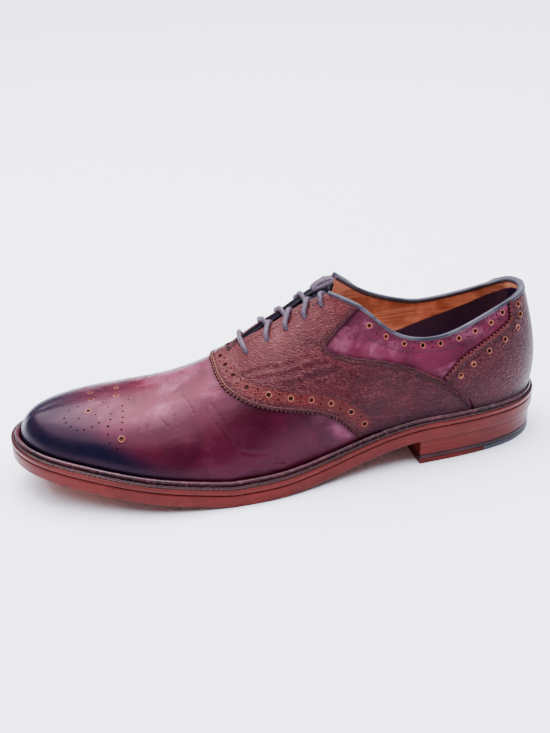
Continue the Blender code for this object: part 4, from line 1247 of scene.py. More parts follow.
def capsules(name: str, rows: list[tuple], material: bpy.types.Material) -> bpy.types.Object:
    """All stitches of one thread as a joined mesh of short bowed capsules.

    A stitch is five rings of six points along its length. Its radius falls towards its ends, which dip
    into the leather and are left open there.

    Args:
        name: the piece's name.
        rows: tuples (middles, directions, outward directions, length, width).
        material: the thread.
    """
    share = np.array([-1.0, -0.82, 0.0, 0.82, 1.0])
    swell = np.array([0.05, 0.72, 1.0, 0.72, 0.05])
    dip = np.array([-0.75, -0.25, 0.0, -0.25, -0.75])
    angle = circle(6)
    points, faces, start = [], [], 0
    ring = np.arange(6)
    after = np.roll(ring, -1)
    template = np.concatenate([np.stack([k + ring, k + after, k + 6 + after, k + 6 + ring], axis=1)
                               for k in (0, 6, 12, 18)])
    for middle, run, out, length, width in rows:
        side = unit(np.cross(run, out))
        centre = middle[:, None, :] + run[:, None, :] * (share * length / 2)[None, :, None]
        centre = centre + out[:, None, :] * (dip * width)[None, :, None]
        across = np.cos(angle)[None, None, :, None] * side[:, None, None, :]
        across = across + np.sin(angle)[None, None, :, None] * out[:, None, None, :]
        made = centre[:, :, None, :] + across * (swell * width / 2)[None, :, None, None]
        points.append(made.reshape(-1, 3))
        count = len(middle)
        faces.append((template[None] + (np.arange(count) * 30)[:, None, None]).reshape(-1, 4) + start)
        start += count * 30
    return mesh_piece(name, np.concatenate(points), np.concatenate(faces)[:, ::-1], [material])


def ends_closed(path: np.ndarray, radius: float) -> np.ndarray:
    """Radius along a cord that falls almost to nothing at both ends, over one radius, as a half circle."""
    reach = reach_along(path)
    near = np.minimum(reach, reach[-1] - reach)
    return radius * np.sqrt(np.clip(1 - (1 - np.clip(near / radius, 0, 1)) ** 2, 0.0004, 1))


@dataclass
class Upper:
    """Vamp, quarters, lining, saddles, counter, binding and tongue."""

    finishes: Finishes
    plum_spacing: float = 1.5 * MM
    overlay_spacing: float = 1.15 * MM
    tooth_pitch: float = 2.5 * MM
    tooth_depth: float = 1.25 * MM
    overlay_low: float = 0.12 * MM
    overlay_high: float = 1.45 * MM
    foot_rise: float = 0.072
    counter_front: float = 0.30
    saddle_back: float = 0.36
    seam_ridge: float = 0.28 * MM
    seam_groove: float = 0.18 * MM
    lining_gap: float = 1.05 * MM
    lining_wall: float = 1.0 * MM
    lining_levels: int = 41
    plain_holes: int = 4
    grip_front: float = 0.060
    grip_back: tuple = (0.02, 0.083, 0.1084, 0.1229, 0.1395, 0.150)
    grip_height: tuple = (0.040, 0.0541, 0.0630, 0.0693, 0.0801, 0.092)

    def sheet_materials(self, face: bpy.types.Material) -> list[bpy.types.Material]:
        """Materials of a sheet: its face, outer edge, holes' walls and facing edge."""
        return [face, self.finishes.edge, self.finishes.cut, self.finishes.facing]

    @staticmethod
    def rings(holes: list[Hole], base: np.ndarray) -> np.ndarray:
        """Tan share at each point: 1 on the skived rim round a large hole."""
        tan = np.zeros(len(base))
        for hole in holes:
            if hole.rim:
                far = np.linalg.norm(base - hole.centre(), axis=1) - hole.radius
                tan = np.maximum(tan, 1 - fade(np.abs(far - 0.05 * MM), 0.20 * MM, 0.45 * MM))
        return 0.80 * tan

    def plum_holes(self) -> list[Hole]:
        """Holes through the plum leather: toe medallion on both sides, and the topline bands."""
        holes = []
        for side in Side:
            spots = side.place(np.array(MEDALLION)[:, :2])
            radii = np.array(MEDALLION)[:, 2] * MM
            holes += [Hole(t, w, r) for (t, w), r in zip(spots, radii)]
            holes += large_holes(TOE_EYES[:1], side, 1.4 * MM) + large_holes(TOE_EYES[1:], side, 1.0 * MM)
            holes += large_holes(TOPLINE_HOLES, side, 1.2 * MM)
            holes += small_pairs(TOPLINE_HOLES, side, 1.4 * MM, 0.5 * MM)
        return holes

    def plum_marks(self, places: np.ndarray, base: np.ndarray, edge: np.ndarray) -> tuple[np.ndarray, dict]:
        """Creases and painted marks of the plum leather, by height, place and distance from the seams.

        The toe and the foot of the vamp are burnished, with a painted dark reflection on the toe's side
        and painted shade low by the welt. The vamp's side has painted shade at its foot, below the lit
        crest, and so has the foot next to the welt. The quarters and the creases are worn, the seams
        cast a painted shadow line and the holes have tan rims.
        """
        lift = np.zeros(len(places))
        wear = np.zeros(len(places))
        for side in Side:
            for path, depth, width, worn in CREASES:
                far = LAST.distance(base, side.place(path))
                lift += crease(far, depth, width, 0.45, 2.2)
                wear = np.maximum(wear, worn * np.exp(-(far / (0.7 * width)) ** 2))
        turn, rise = np.abs(LAST.signed(places[:, 0])), places[:, 1]
        height = base[:, 2] - LAST.sole_top(base[:, 1])
        share = LAST.along(base[:, 1])
        # Burnished toe and forefoot foot; the same mark holds a painted dark reflection on the toe's side,
        # weaker towards the top, and painted shade low by the welt.
        toe = fade(share, 0.74, 0.93) * (1 - 0.40 * fade(height, 16 * MM, 32 * MM))
        low = 0.62 * fade(share, 0.60, 0.78) * (1 - fade(height, 6 * MM, 22 * MM))
        burnish = np.clip(toe + low, 0, 1)
        # Painted shade on the vamp's side below its lit crest, and on the foot next to the welt.
        border = np.interp(turn, DARK_FOOT[:, 0], DARK_FOOT[:, 1])
        side_shade = 0.70 * (1 - fade(rise, border - 0.03, border + 0.05)) * fade(turn, 0.42, 0.50)
        shade = np.maximum(0.75 * (1 - fade(height, 3 * MM, 10 * MM)), side_shade)
        wear = np.maximum(wear, 0.16 * (1 - fade(turn, 0.42, 0.47)))
        # Painted shadow lines that the overlays' seams cast on the plum leather.
        for path, depth in SEAM_SHADES:
            for side in Side:
                far = LAST.distance(base, side.place(path))
                shade = np.maximum(shade, depth * (1 - fade(far, 1.3 * MM, 1.9 * MM)))
        wear *= 1 - 0.6 * fade(turn, 0.70, 0.80)
        wear *= 1 - fade(shade, 0.5, 0.8)
        tan = self.rings(self.plum_holes(), base) * (1 - 0.45 * fade(turn, 0.785, 0.80))
        return lift, {"burnish": burnish, "shade": shade, "wear": wear, "tan": tan}

    def plum(self) -> bpy.types.Object:
        """Vamp and quarters in one sheet, cut along the collar and the facings."""
        foot = np.column_stack([np.linspace(0.0, 2.0, 1201), np.zeros(1201)])
        wall = np.column_stack([np.full(80, 2.0), np.linspace(0.0, 1.0, 81)[1:]])
        top = np.column_stack([np.linspace(2.0, 0.0, 1201)[1:], np.ones(1200)])
        back = np.column_stack([np.zeros(79), np.linspace(1.0, 0.0, 81)[1:-1]])
        outline = np.concatenate([foot, wall, top, back])
        guides = []
        for side in Side:
            for path, _, width, _ in CREASES:
                fine = LAST.measured(path, 0.8 * MM)
                for share in (-1.6, -0.8, 0.0, 0.8, 1.6):
                    guides.append(side.place(LAST.shift(fine, np.full(len(fine), share * width))))
            for path in (SADDLE_FRONT, COUNTER_EDGE):
                guides += self.seam_guides(path, side, (-0.7, -1.4, -2.0))
        sheet = Sheet("plum_upper", outline, self.plum_holes(), -1.0 * MM, 0.0, self.plum_spacing,
                      guides=guides)
        return sheet.build(self.sheet_materials(self.finishes.plum), self.plum_marks)

    def lining(self) -> bpy.types.Object:
        """Lining: a shell that follows the plum leather's inner face, tan before and dark at the heel."""
        levels = self.lining_levels
        turn = np.linspace(0.0, 2.0, 481)[:-1]
        t, w = np.meshgrid(turn, np.linspace(0.0, 1.0, levels), indexing="ij")
        outer = LAST.skin(t, w, -self.lining_gap)
        inner = LAST.skin(t, w, -self.lining_gap - self.lining_wall)
        points, faces = swept(np.concatenate([outer, inner[:, ::-1]], axis=1), True, True)
        column = np.tile(np.arange(2 * levels), len(turn))
        line = np.interp(points[:, 1], self.grip_back, self.grip_height)
        past = np.minimum(line - points[:, 2], points[:, 1] - self.grip_front) / (1.5 * MM)
        shade = np.clip(past, 0, 1) * (column >= levels)
        held = column[faces]
        turned = np.repeat(np.abs(LAST.signed(turn)), 2 * levels)[faces].mean(axis=1)
        edge = (held.min(axis=1) == levels - 1) & (held.max(axis=1) == levels) & (turned > FACING_TOP)
        slots = np.where(edge, 1, np.where(held.max(axis=1) < levels, 2, 0))
        materials = [self.finishes.lining, self.finishes.facing, self.finishes.edge]
        return mesh_piece("lining", points, faces[:, ::-1], materials, slots, {"shade": shade})

    def saddle_outline(self, side: Side) -> np.ndarray:
        """Saddle: gimped front edge, foot over the welt, panel edge, and the facing's own edge."""
        front = gimped(np.array(SADDLE_FRONT), self.tooth_pitch, self.tooth_depth)
        rear = LAST.measured(PANEL_EDGE, 1.0 * MM)
        front = front[front[:, 1] > self.foot_rise]
        foot = np.column_stack([np.linspace(front[-1, 0], rear[-1, 0], 80), np.full(80, self.foot_rise)])
        top = np.column_stack([np.linspace(rear[0, 0], front[0, 0], 160), np.ones(160)])
        outline = np.concatenate([front, foot, rear[::-1][1:], top[1:-1]])
        outline[:, 1] = np.clip(outline[:, 1], 0, 1)
        return side.place(outline)

    def grain_marks(self, places: np.ndarray, base: np.ndarray, edge: np.ndarray) -> tuple[np.ndarray, dict]:
        """Folds, ridges and painted marks of the grain leather.

        The foot carries painted shade, the edges and the saddle's teeth are dark, the brogued band is warm,
        the saddle's top has a painted highlight, the counter's teeth are worn, and the ridges beside the
        seams are worn, carry a painted highlight and are tan, like the holes' rims.
        """
        turn, rise = np.abs(LAST.signed(places[:, 0])), places[:, 1]
        height = base[:, 2] - LAST.sole_top(base[:, 1])
        heel, saddle = turn < self.counter_front, turn > self.saddle_back
        tooth = 1 - fade(edge, 0.35 * MM, 0.75 * MM)
        lift = np.zeros(len(places))
        for side in Side:
            for path, depth, width in FOLDS:
                lift += crease(LAST.distance(base, side.place(path)), depth, width, 0.5, 2.0)
        shade = 0.95 * (1 - fade(height, 5 * MM, 17 * MM))
        shade = np.maximum(shade, 0.35 * (1 - fade(edge, 0.5 * MM, 3.2 * MM)))
        shade = np.maximum(shade, 0.85 * tooth * (~heel & (rise < 0.985)))
        shade = np.maximum(shade, 0.30 * (heel & (rise < 0.90)))
        band = LAST.distance(LAST.face(turn, rise), BAND_HOLES)
        warm = (1 - fade(band, 1.5 * MM, 5.5 * MM)) * (1 - 0.75 * fade(rise, 0.60, 0.82))
        wear, ridge, pale = self.seam_lines(base)
        # Painted highlight on the saddle's top, where the light falls.
        wear = np.maximum(wear, 0.30 * fade(rise, 0.70, 0.92) * saddle)
        wear = np.maximum(wear, 0.70 * tooth * (heel & (rise > 0.5) & (rise < 0.97)))
        holes = []
        for side in Side:
            holes += large_holes(COUNTER_HOLES, side) + large_holes(BAND_HOLES, side)[self.plain_holes:]
        # The front seam's ridges turn tan as a painted highlight, more so higher up.
        pale = pale * saddle * (0.15 + 0.85 * fade(rise, 0.40, 0.80))
        tan = np.maximum(self.rings(holes, base), pale)
        return lift + ridge, {"shade": shade, "warm": warm, "wear": wear, "tan": tan}

    def seam_lines(self, base: np.ndarray) -> tuple[np.ndarray, np.ndarray, np.ndarray]:
        """Wear with a painted highlight, lift and tan share beside the seams: bells of the distance from each
        seam's edge.

        The leather stands up in a worn ridge, lighter by a painted highlight, at each of a seam's ridges
        and dips at its stitches.
        """
        wear, lift, pale = np.zeros((3, len(base)))
        for path, ridges, grooves, worn in SEAM_LINES:
            for side in Side:
                far = LAST.distance(base, side.place(path), 0.4 * MM) / MM
                for place in ridges:
                    bell = np.exp(-((far - place) / 0.32) ** 2)
                    # The ridges are worn lighter and carry a painted highlight.
                    wear = np.maximum(wear, worn * bell)
                    pale = np.maximum(pale, 0.42 * bell * (worn > 0.5))
                    lift += self.seam_ridge * bell
                for place in grooves:
                    lift -= self.seam_groove * np.exp(-((far - place) / 0.40) ** 2)
        return wear, lift, pale

    @staticmethod
    def seam_guides(path: tuple, side: Side, offsets: tuple) -> list[np.ndarray]:
        """Lines of points along a seam, where its ridges and grooves need a close mesh."""
        fine = LAST.measured(path, 0.75 * MM)
        return [side.place(LAST.shift(fine, np.full(len(fine), offset * MM))) for offset in offsets]

    def saddle(self, side: Side) -> bpy.types.Object:
        """One saddle, with its brogued band and eyelets punched through."""
        holes = large_holes(BAND_HOLES, side)
        for hole in holes[:self.plain_holes]:
            hole.rim = 0.0
        holes += small_pairs(BAND_HOLES, side)
        holes += [Hole(t, w, 1.35 * MM) for t, w in side.place(EYELETS)]
        name = "saddle_grain_outer" if side is Side.OUTER else "saddle_grain_inner"
        guides = self.seam_guides(SADDLE_FRONT, side, (0.6, 1.0, 1.35, 1.65, 2.0, 2.35, 2.7, 3.0, 3.5))
        guides += self.seam_guides(PANEL_EDGE, side, (-0.45, -0.85, -1.3, -1.7, -2.1, -2.5, -2.9, -3.4))
        sheet = Sheet(name, self.saddle_outline(side), holes, self.overlay_low, self.overlay_high,
                      self.overlay_spacing, 0.45 * MM, guides=guides)
        return sheet.build(self.sheet_materials(self.finishes.grain), self.grain_marks)

    def counter(self) -> bpy.types.Object:
        """Counter round the heel, its front edges gimped."""
        outer = gimped(np.array(COUNTER_EDGE[::-1]), self.tooth_pitch, self.tooth_depth)
        seam = LAST.measured(COUNTER_SEAM, 1.0 * MM)
        half = np.concatenate([seam[::-1], outer])
        foot = np.column_stack([np.linspace(-half[0, 0], half[0, 0], 160), np.full(160, self.foot_rise)])
        top = np.column_stack([np.linspace(half[-1, 0], -half[-1, 0], 90), np.ones(90)])
        mirrored = half * (-1, 1)
        outline = np.concatenate([half, top[1:-1], mirrored[::-1], foot[1:-1]])
        outline[:, 1] = np.clip(outline[:, 1], 0, 1)
        holes = []
        for way in (1.0, -1.0):
            holes += [Hole(way * t, w, 1.3 * MM, 0.22 * MM) for t, w in COUNTER_HOLES]
        pairs = small_pairs(COUNTER_HOLES, Side.OUTER, 1.5 * MM, 0.5 * MM)
        holes += pairs + [Hole(-hole.turn, hole.rise, hole.radius) for hole in pairs]
        guides = self.seam_guides(COUNTER_EDGE, Side.OUTER, (0.55, 0.95, 1.3, 1.65, 2.05, 2.4, 2.8, 3.3))
        guides += [line * (-1, 1) for line in guides]
        sheet = Sheet("counter_grain", outline, holes, self.overlay_low, self.overlay_high,
                      self.overlay_spacing, 0.45 * MM, guides=guides)
        return sheet.build(self.sheet_materials(self.finishes.grain), self.grain_marks)

    def hole_shadows(self) -> bpy.types.Object:
        """Dark brown discs that show through the saddles' and the counter's holes, as painted shadow at their
        bottom.
        """
        points, faces = [], []
        ring = np.arange(16)
        for side in Side:
            for hole in large_holes(BAND_HOLES, side) + large_holes(COUNTER_HOLES, side):
                rim = hole.loop(hole.radius + 0.5 * MM, 16)
                rim = LAST.skin(rim[:, 0], rim[:, 1], 0.25 * MM)
                faces.append(np.column_stack([ring, np.roll(ring, -1), np.full(16, 16)]) + 17 * len(points))
                points.append(np.vstack([rim, hole.centre(0.35 * MM)]))
        return mesh_piece("hole_shadows", np.concatenate(points), np.concatenate(faces), [self.finishes.edge])

    def binding(self) -> bpy.types.Object:
        """Rolled binding: an arch over the collar's edge, carried round from facing to facing."""
        turn = np.linspace(-FACING_TOP, FACING_TOP, 421)
        rim = LAST.skin(turn, np.ones(len(turn)), 0.0)
        out = LAST.out_way(turn, np.ones(len(turn)))
        run = unit(np.gradient(rim, axis=0))
        up = np.cross(out, run)
        up *= np.sign(up[:, 2])[:, None]
        overlaid = np.maximum(1 - fade(np.abs(turn), 0.085, 0.11), fade(np.abs(turn), 0.375, 0.39))
        outer = 0.35 * MM + overlaid * self.overlay_high
        inner = -self.lining_gap - self.lining_wall - 0.35 * MM
        angle = np.linspace(0.0, math.pi, 15)
        across = ((outer + inner)[:, None] + (outer - inner)[:, None] * np.cos(angle)) / 2
        above = 0.1 * MM + 1.1 * MM * np.sin(angle) ** 0.8
        arch = rim[:, None, :] + out[:, None, :] * across[..., None] + up[:, None, :] * above[:, None]
        outer_leg = [rim + out * (outer + 0.02 * MM)[:, None] + up * (-0.7 * MM),
                     rim + out * (outer - 0.4 * MM)[:, None] + up * (-1.1 * MM)]
        inner_leg = [rim + out * (inner + 0.3 * MM) + up * (-1.5 * MM), rim + out * inner + up * (-1.1 * MM)]
        legs = [np.stack(leg[::-1], axis=1) for leg in (outer_leg, inner_leg)]
        rows = np.concatenate([legs[0], arch, legs[1]], axis=1)
        points, faces = swept(rows, True, False)
        piece = mesh_piece("collar_binding_leather", points, faces, [self.finishes.piping])
        close_ends(piece, rows.shape[1])
        return piece

    def tongue(self) -> bpy.types.Object:
        """Tongue: a sheet under the facings, rounded at its top edge."""
        turn = np.linspace(FACING_TOP + 0.006, 0.66, 90)
        across = np.linspace(-1.0, 1.0, 61)
        rise = 1 - 0.20 * np.abs(across)
        t, w = np.meshgrid(turn, np.minimum(rise, 0.985), indexing="ij")
        t = np.where(across >= 0, t, 2.0 - t)
        top = LAST.skin(t, w, -2.75 * MM)
        low = LAST.skin(t, w, -4.4 * MM)
        rows = np.concatenate([top, low[:, ::-1]], axis=1)
        points, faces = swept(rows, True, False)
        piece = mesh_piece("tongue_leather", points, faces, [self.finishes.tongue])
        close_ends(piece, rows.shape[1])
        return piece

    @staticmethod
    def beside(path: tuple, side: Side, offset: float, lift: float) -> StitchRow:
        """Row of stitches at a real distance to the left of an outer path, put on a side."""
        fine = LAST.measured(path, 1.0 * MM)
        moved = LAST.shift(fine, np.full(len(fine), offset))
        moved = moved[(moved[:, 1] > 0.078) & (moved[:, 1] < 0.992)]
        return StitchRow(side.place(moved), lift)

    def rows_of_stitches(self) -> list[StitchRow]:
        """Every row of dark stitches: beside the edges, round the bands, down the facings."""
        over, plum = self.overlay_high + 0.08 * MM, 0.06 * MM
        seams = ((SADDLE_FRONT, 1.65 * MM, over), (SADDLE_FRONT, 3.0 * MM, over), (BAND_STITCH, 0.0, over),
                 (PANEL_EDGE, -1.3 * MM, over), (PANEL_EDGE, -2.8 * MM, over), (TOPLINE_STITCH, 0.0, plum),
                 (COUNTER_EDGE, 1.5 * MM, over), (COUNTER_EDGE, 2.7 * MM, over), (FACING_STITCH, 0.0, over),
                 (COLLAR_STITCH, 0.0, plum))
        return [self.beside(path, side, offset, lift) for side in Side for path, offset, lift in seams]

    def stitches(self) -> bpy.types.Object:
        """All dark stitches in one joined mesh."""
        made = [(*row.stations(), row.length, row.width) for row in self.rows_of_stitches()]
        return capsules("seam_stitches", made, self.finishes.dark_thread)

    def bar_tacks(self) -> bpy.types.Object:
        """Thread ring and four short bars at the foot of the facings, on both sides."""
        rows = []
        over = self.overlay_high + 0.35 * MM
        for side in Side:
            spot = side.place([BAR_TACK])
            loop = Hole(*spot[0], 0.0).loop(1.15 * MM, 24)
            path = LAST.skin(loop[:, 0], np.clip(loop[:, 1], 0, 0.999), over)
            run = np.roll(path, -1, axis=0) - np.roll(path, 1, axis=0)
            out = np.tile(LAST.out_way(spot[:, 0], spot[:, 1]), (24, 1))
            rows.append((path, unit(run), out, 0.50 * MM, 0.75 * MM))
            turns = np.linspace(BAR_TACK[0] - 0.0055, BAR_TACK[0] - 0.0145, 4)
            rises = np.linspace(BAR_TACK[1] + 0.004, BAR_TACK[1] + 0.016, 4)
            turn, rise = side.place(np.column_stack([turns, rises])).T
            up_way = unit(LAST.ways(turn, rise)[1])
            rows.append((LAST.skin(turn, rise, over), up_way, LAST.out_way(turn, rise), 1.9 * MM, 0.75 * MM))
        return capsules("bar_tacks", rows, self.finishes.dark_thread)

    def build(self) -> None:
        """Make every piece of the upper and hide the solids that they stand for."""
        self.bar_tacks()
        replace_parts(self.plum(), "upper")
        self.lining()
        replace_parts(self.saddle(Side.OUTER), "saddle_outer")
        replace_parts(self.saddle(Side.INNER), "saddle_inner")
        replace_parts(self.counter(), "counter")
        self.hole_shadows()
        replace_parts(self.binding(), "collar_binding")
        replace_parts(self.tongue(), "tongue")
        self.stitches()


@dataclass
class Bottom:
    """Welt, outsole, heel and insole."""

    finishes: Finishes
    stations: int = 720
    stitch_pitch: float = 3.0 * MM
    heel_inset: float = 1.5 * MM
    lift: float = 2.8 * MM
    layer: float = 2.5 * MM
    breast: float = 0.263
    split: float = 0.125
    bead_end: int = 15
    channel: int = 18
    edge_start: int = 25
    dark_lines: tuple = (14, 15, 18, 19, 20)
    score: float = 0.16

    def ring(self) -> np.ndarray:
        """Turns all round the shoe."""
        return np.linspace(0.0, 2.0, self.stations, endpoint=False)

    def welt_profile(self, turn: np.ndarray) -> tuple[np.ndarray, np.ndarray]:
        """Welt's section at each turn: distances from the feather line, and heights over the sole's top."""
        knots, rows = LAST.both_sides(WALL, 4)
        h = smooth(knots, rows, LAST.signed(turn))
        tall = LAST.top_line(turn)[:, 2] - LAST.feather(turn)[0][:, 2]
        lean = h[:, 0] * LAST.ball_width / (h[:, 1] * tall)
        width = LAST.edge_width(turn)
        radius = LAST.bead_width / 2
        level = LAST.welt + LAST.bead_rise - radius
        middle = LAST.seat_gap + radius + level * lean
        outs, ups = [np.full(len(turn), LAST.seat_gap)], [LAST.seat_gap]
        for angle in np.linspace(1.1 * math.pi, -0.25 * math.pi, 13):
            outs.append(middle + radius * math.cos(angle))
            ups.append(level + radius * math.sin(angle))
        ledge = middle + radius
        for share, drop in ((0.06, -0.65), (0.16, -0.25), (0.34, 0.0), (0.44, -0.10), (0.50, -0.45),
                            (0.58, -0.45), (0.64, -0.10), (0.74, 0.0), (0.90, -0.02)):
            outs.append(ledge + (width - ledge) * share)
            ups.append(LAST.welt + drop * MM)
        for angle in np.linspace(0.5 * math.pi, 0.0, 5):
            outs.append(width - 0.6 * MM * (1 - math.cos(angle)))
            ups.append(LAST.welt - 0.6 * MM * (1 - math.sin(angle)))
        outs += [width, width - 0.35 * MM]
        ups += [LAST.seat_gap + 0.35 * MM, LAST.seat_gap - 0.1 * MM]
        return np.stack(outs, axis=1), np.array(ups)

    def welt(self) -> bpy.types.Object:
        """Welt all round: rolled bead, groove, stitched ledge and rounded edge."""
        turn = self.ring()
        outs, ups = self.welt_profile(turn)
        rows = []
        for column in range(outs.shape[1]):
            point, _ = LAST.plan(turn, outs[:, column])
            rows.append(np.column_stack([point, LAST.sole_top(point[:, 1]) + ups[column]]))
        rows = np.stack(rows, axis=1)
        points, faces = swept(rows, True, True)
        column = np.tile(np.arange(rows.shape[1]), rows.shape[0])
        last = column[faces].max(axis=1)
        slots = np.where((last > 0) & (last < self.bead_end), 1, np.where(last >= self.edge_start, 2, 0))
        groove = np.isin(column, self.dark_lines) * 0.8
        materials = [self.finishes.welt, self.finishes.bead, self.finishes.sole]
        return mesh_piece("welt_leather", points, faces, materials, slots, {"shade": groove})

    def welt_stitches(self) -> bpy.types.Object:
        """Lockstitches along the channel in the welt's ledge."""
        turn = np.linspace(0.0, 2.0, 4000, endpoint=False)
        outs, _ = self.welt_profile(turn)
        point, _ = LAST.plan(turn, outs[:, self.channel])
        path = np.column_stack([point, LAST.sole_top(point[:, 1]) + LAST.welt - 0.02 * MM])
        reach = reach_along(path)
        at = np.arange(0.0, reach[-1], self.stitch_pitch)
        middle = np.stack([np.interp(at, reach, path[:, k]) for k in range(3)], axis=1)
        run = unit(np.gradient(middle, axis=0))
        side = unit(np.cross(run, [0.0, 0.0, 1.0]))
        out = np.cross(side, run)
        rows = [(middle, run, out, self.stitch_pitch * 0.86, 0.75 * MM)]
        return capsules("welt_stitches", rows, self.finishes.light_thread)

    @staticmethod
    def slab(name: str, rows: list[np.ndarray], materials: list[bpy.types.Material],
             shades: list[float] = None) -> bpy.types.Object:
        """Piece from rings laid one on the other, capped by grids that run from side to side.

        The caps stop one station before the heel's and the toe's tip and leave a gap of about 1 mm there.

        Args:
            name: the piece's name.
            rows: rings of points, from the lowest to the highest.
            materials: of the side, and of the caps where a second one is given.
            shades: how dark each ring is, or none.

        Returns:
            The object.
        """
        rings = np.stack(rows)
        count = rings.shape[1]
        half = count // 2
        numbers = np.arange(rings.shape[0] * count).reshape(rings.shape[:2])
        around, sides = swept(rings, True, False)
        points, faces, slots = [around], [sides], [np.zeros(len(sides), int)]
        share = np.linspace(0.0, 1.0, 17)[None, 1:-1, None]
        start = len(around)
        for layer, flip in ((0, False), (-1, True)):
            left, right = numbers[layer, 1:half], numbers[layer, :half:-1][:half - 1]
            a, b = rings[layer][1:half, None], rings[layer][:half:-1][:half - 1, None]
            grid = a * (1 - share) + b * share
            fresh = np.arange(grid.shape[0] * grid.shape[1]).reshape(grid.shape[:2]) + start
            start += fresh.size
            points.append(grid.reshape(-1, 3))
            cap = np.concatenate([left[:, None], fresh, right[:, None]], axis=1)
            made = grid_faces(cap)
            faces.append(made[:, ::-1] if flip else made)
            slots.append(np.full(len(made), len(materials) - 1))
        points = np.concatenate(points)
        shade = np.zeros(len(points))
        if shades is not None:
            shade[:len(around)] = np.repeat(shades, count)
        faces, slots = np.concatenate(faces), np.concatenate(slots)
        return tidy(mesh_piece(name, points, faces, materials, slots, {"shade": shade}))

    def outsole(self) -> bpy.types.Object:
        """Outsole: rounded lower edge, flat side, dark line under the welt."""
        turn = self.ring()
        width = LAST.edge_width(turn)
        base = LAST.tread(LAST.plan(turn, width)[0][:, 1])
        rows, shades = [], []
        for aside, height in OUTSOLE:
            edge, _ = LAST.plan(turn, width + aside * MM)
            rows.append(np.column_stack([edge, base + height * MM]))
            shades.append(0.9 if height > 6.9 else 0.0)
        return self.slab("outsole_leather", rows, [self.finishes.sole, self.finishes.bottom], shades)

    def heel_turns(self, front: float, rear: float = 0.0) -> np.ndarray:
        """Turns of the heel's outline from its inner front corner round the back, or past 'rear'."""
        dense = np.linspace(0.0, 0.5, 401)
        reach = []
        for way in (1.0, -1.0):
            edge, _ = LAST.plan(way * dense, LAST.edge_width(dense) - self.heel_inset)
            reach.append(np.interp([rear, front], LAST.along(edge[:, 1]), dense))
        outer, inner = reach
        if rear:
            return np.concatenate([np.linspace(*-inner[::-1], 20), np.linspace(*outer, 20)])
        return np.linspace(-inner[1], outer[1], 161)

    def heel_piece(self, name: str, front: float, rear: float, low: float, high: float,
                   materials: list[bpy.types.Material], layers: int = 1) -> bpy.types.Object:
        """Slice of the heel with softly rounded edges; with no 'high' it reaches up to the outsole.

        The side is scored between layers: each row of the profile is (inset in mm, share of the height).
        With an odd number of turns the caps leave one small triangle open at the back.
        """
        turns = self.heel_turns(front, rear)
        width = LAST.edge_width(turns) - self.heel_inset
        base, _ = LAST.plan(turns, width)
        top = np.full(len(turns), high) if high else LAST.tread(base[:, 1]) - 0.1 * MM
        profile = [(0.35, 0.0)]
        for layer in range(layers):
            steps = ((0.06, 0.06), (0.0, 0.14), (0.0, 0.86), (0.06, 0.94))
            profile += [(inset, (layer + step) / layers) for inset, step in steps]
            profile.append((self.score if layer < layers - 1 else 0.30, (layer + 1) / layers))
        rings = []
        for inset, share in profile:
            edge, _ = LAST.plan(turns, width - inset * MM)
            rings.append(np.column_stack([edge, low + (top - low) * share]))
        rings = np.stack(rings)
        count = len(turns)
        half = count // 2
        numbers = np.arange(rings.shape[0] * count).reshape(rings.shape[:2])
        points, sides = swept(rings, True, False)
        faces = [sides]
        for row, flip in ((numbers[0], False), (numbers[-1], True)):
            left, right = row[:half], row[::-1][:half]
            made = grid_faces(np.stack([left, right], axis=1))
            faces.append(made[:, ::-1] if flip else made)
        shade = np.repeat([0.9 if inset == self.score else 0.0 for inset, _ in profile], count)
        return tidy(mesh_piece(name, points, np.concatenate(faces), materials, None, {"shade": shade}))

    def heel(self) -> None:
        """Heel from the floor up."""
        gap = 0.1 * MM
        split = self.split + 0.3 * MM / LAST.length
        low = self.lift + gap
        top = low + self.layer
        rubber, dark, sole = [self.finishes.rubber], [self.finishes.welt], [self.finishes.sole]
        piece = self.heel_piece("heel_tip_rubber", self.split, 0.0, 0.0, self.lift, rubber)
        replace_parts(piece, "heel_lift_rubber")
        piece = self.heel_piece("heel_tip_leather", self.breast, split, 0.0, self.lift, sole)
        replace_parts(piece, "heel_lift_leather")
        piece = self.heel_piece("heel_dark_layer", self.breast, 0.0, low, top, dark)
        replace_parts(piece, "heel_layer")
        piece = self.heel_piece("heel_stack", self.breast, 0.0, top + gap, None, sole, 2)
        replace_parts(piece, "heel_block")

    def insole(self) -> bpy.types.Object:
        """Sock on the insole: a thin crowned sheet that fills the foot of the upper."""
        turn = self.ring()
        rows = []
        for aside, height in ((-0.6, 0.0), (-0.6, 2.4), (-0.9, 2.9), (-1.6, 3.2)):
            edge, _ = LAST.plan(turn, -LAST.wall + aside * MM)
            rows.append(np.column_stack([edge, LAST.sole_top(edge[:, 1]) + LAST.seat_gap + height * MM]))
        return self.slab("sock_leather", rows, [self.finishes.lining])

    def build(self) -> None:
        """Make every piece under the upper."""
        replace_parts(self.welt(), "welt")
        self.welt_stitches()
        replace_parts(self.outsole(), "outsole")
        self.heel()
        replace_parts(self.insole(), "insole")


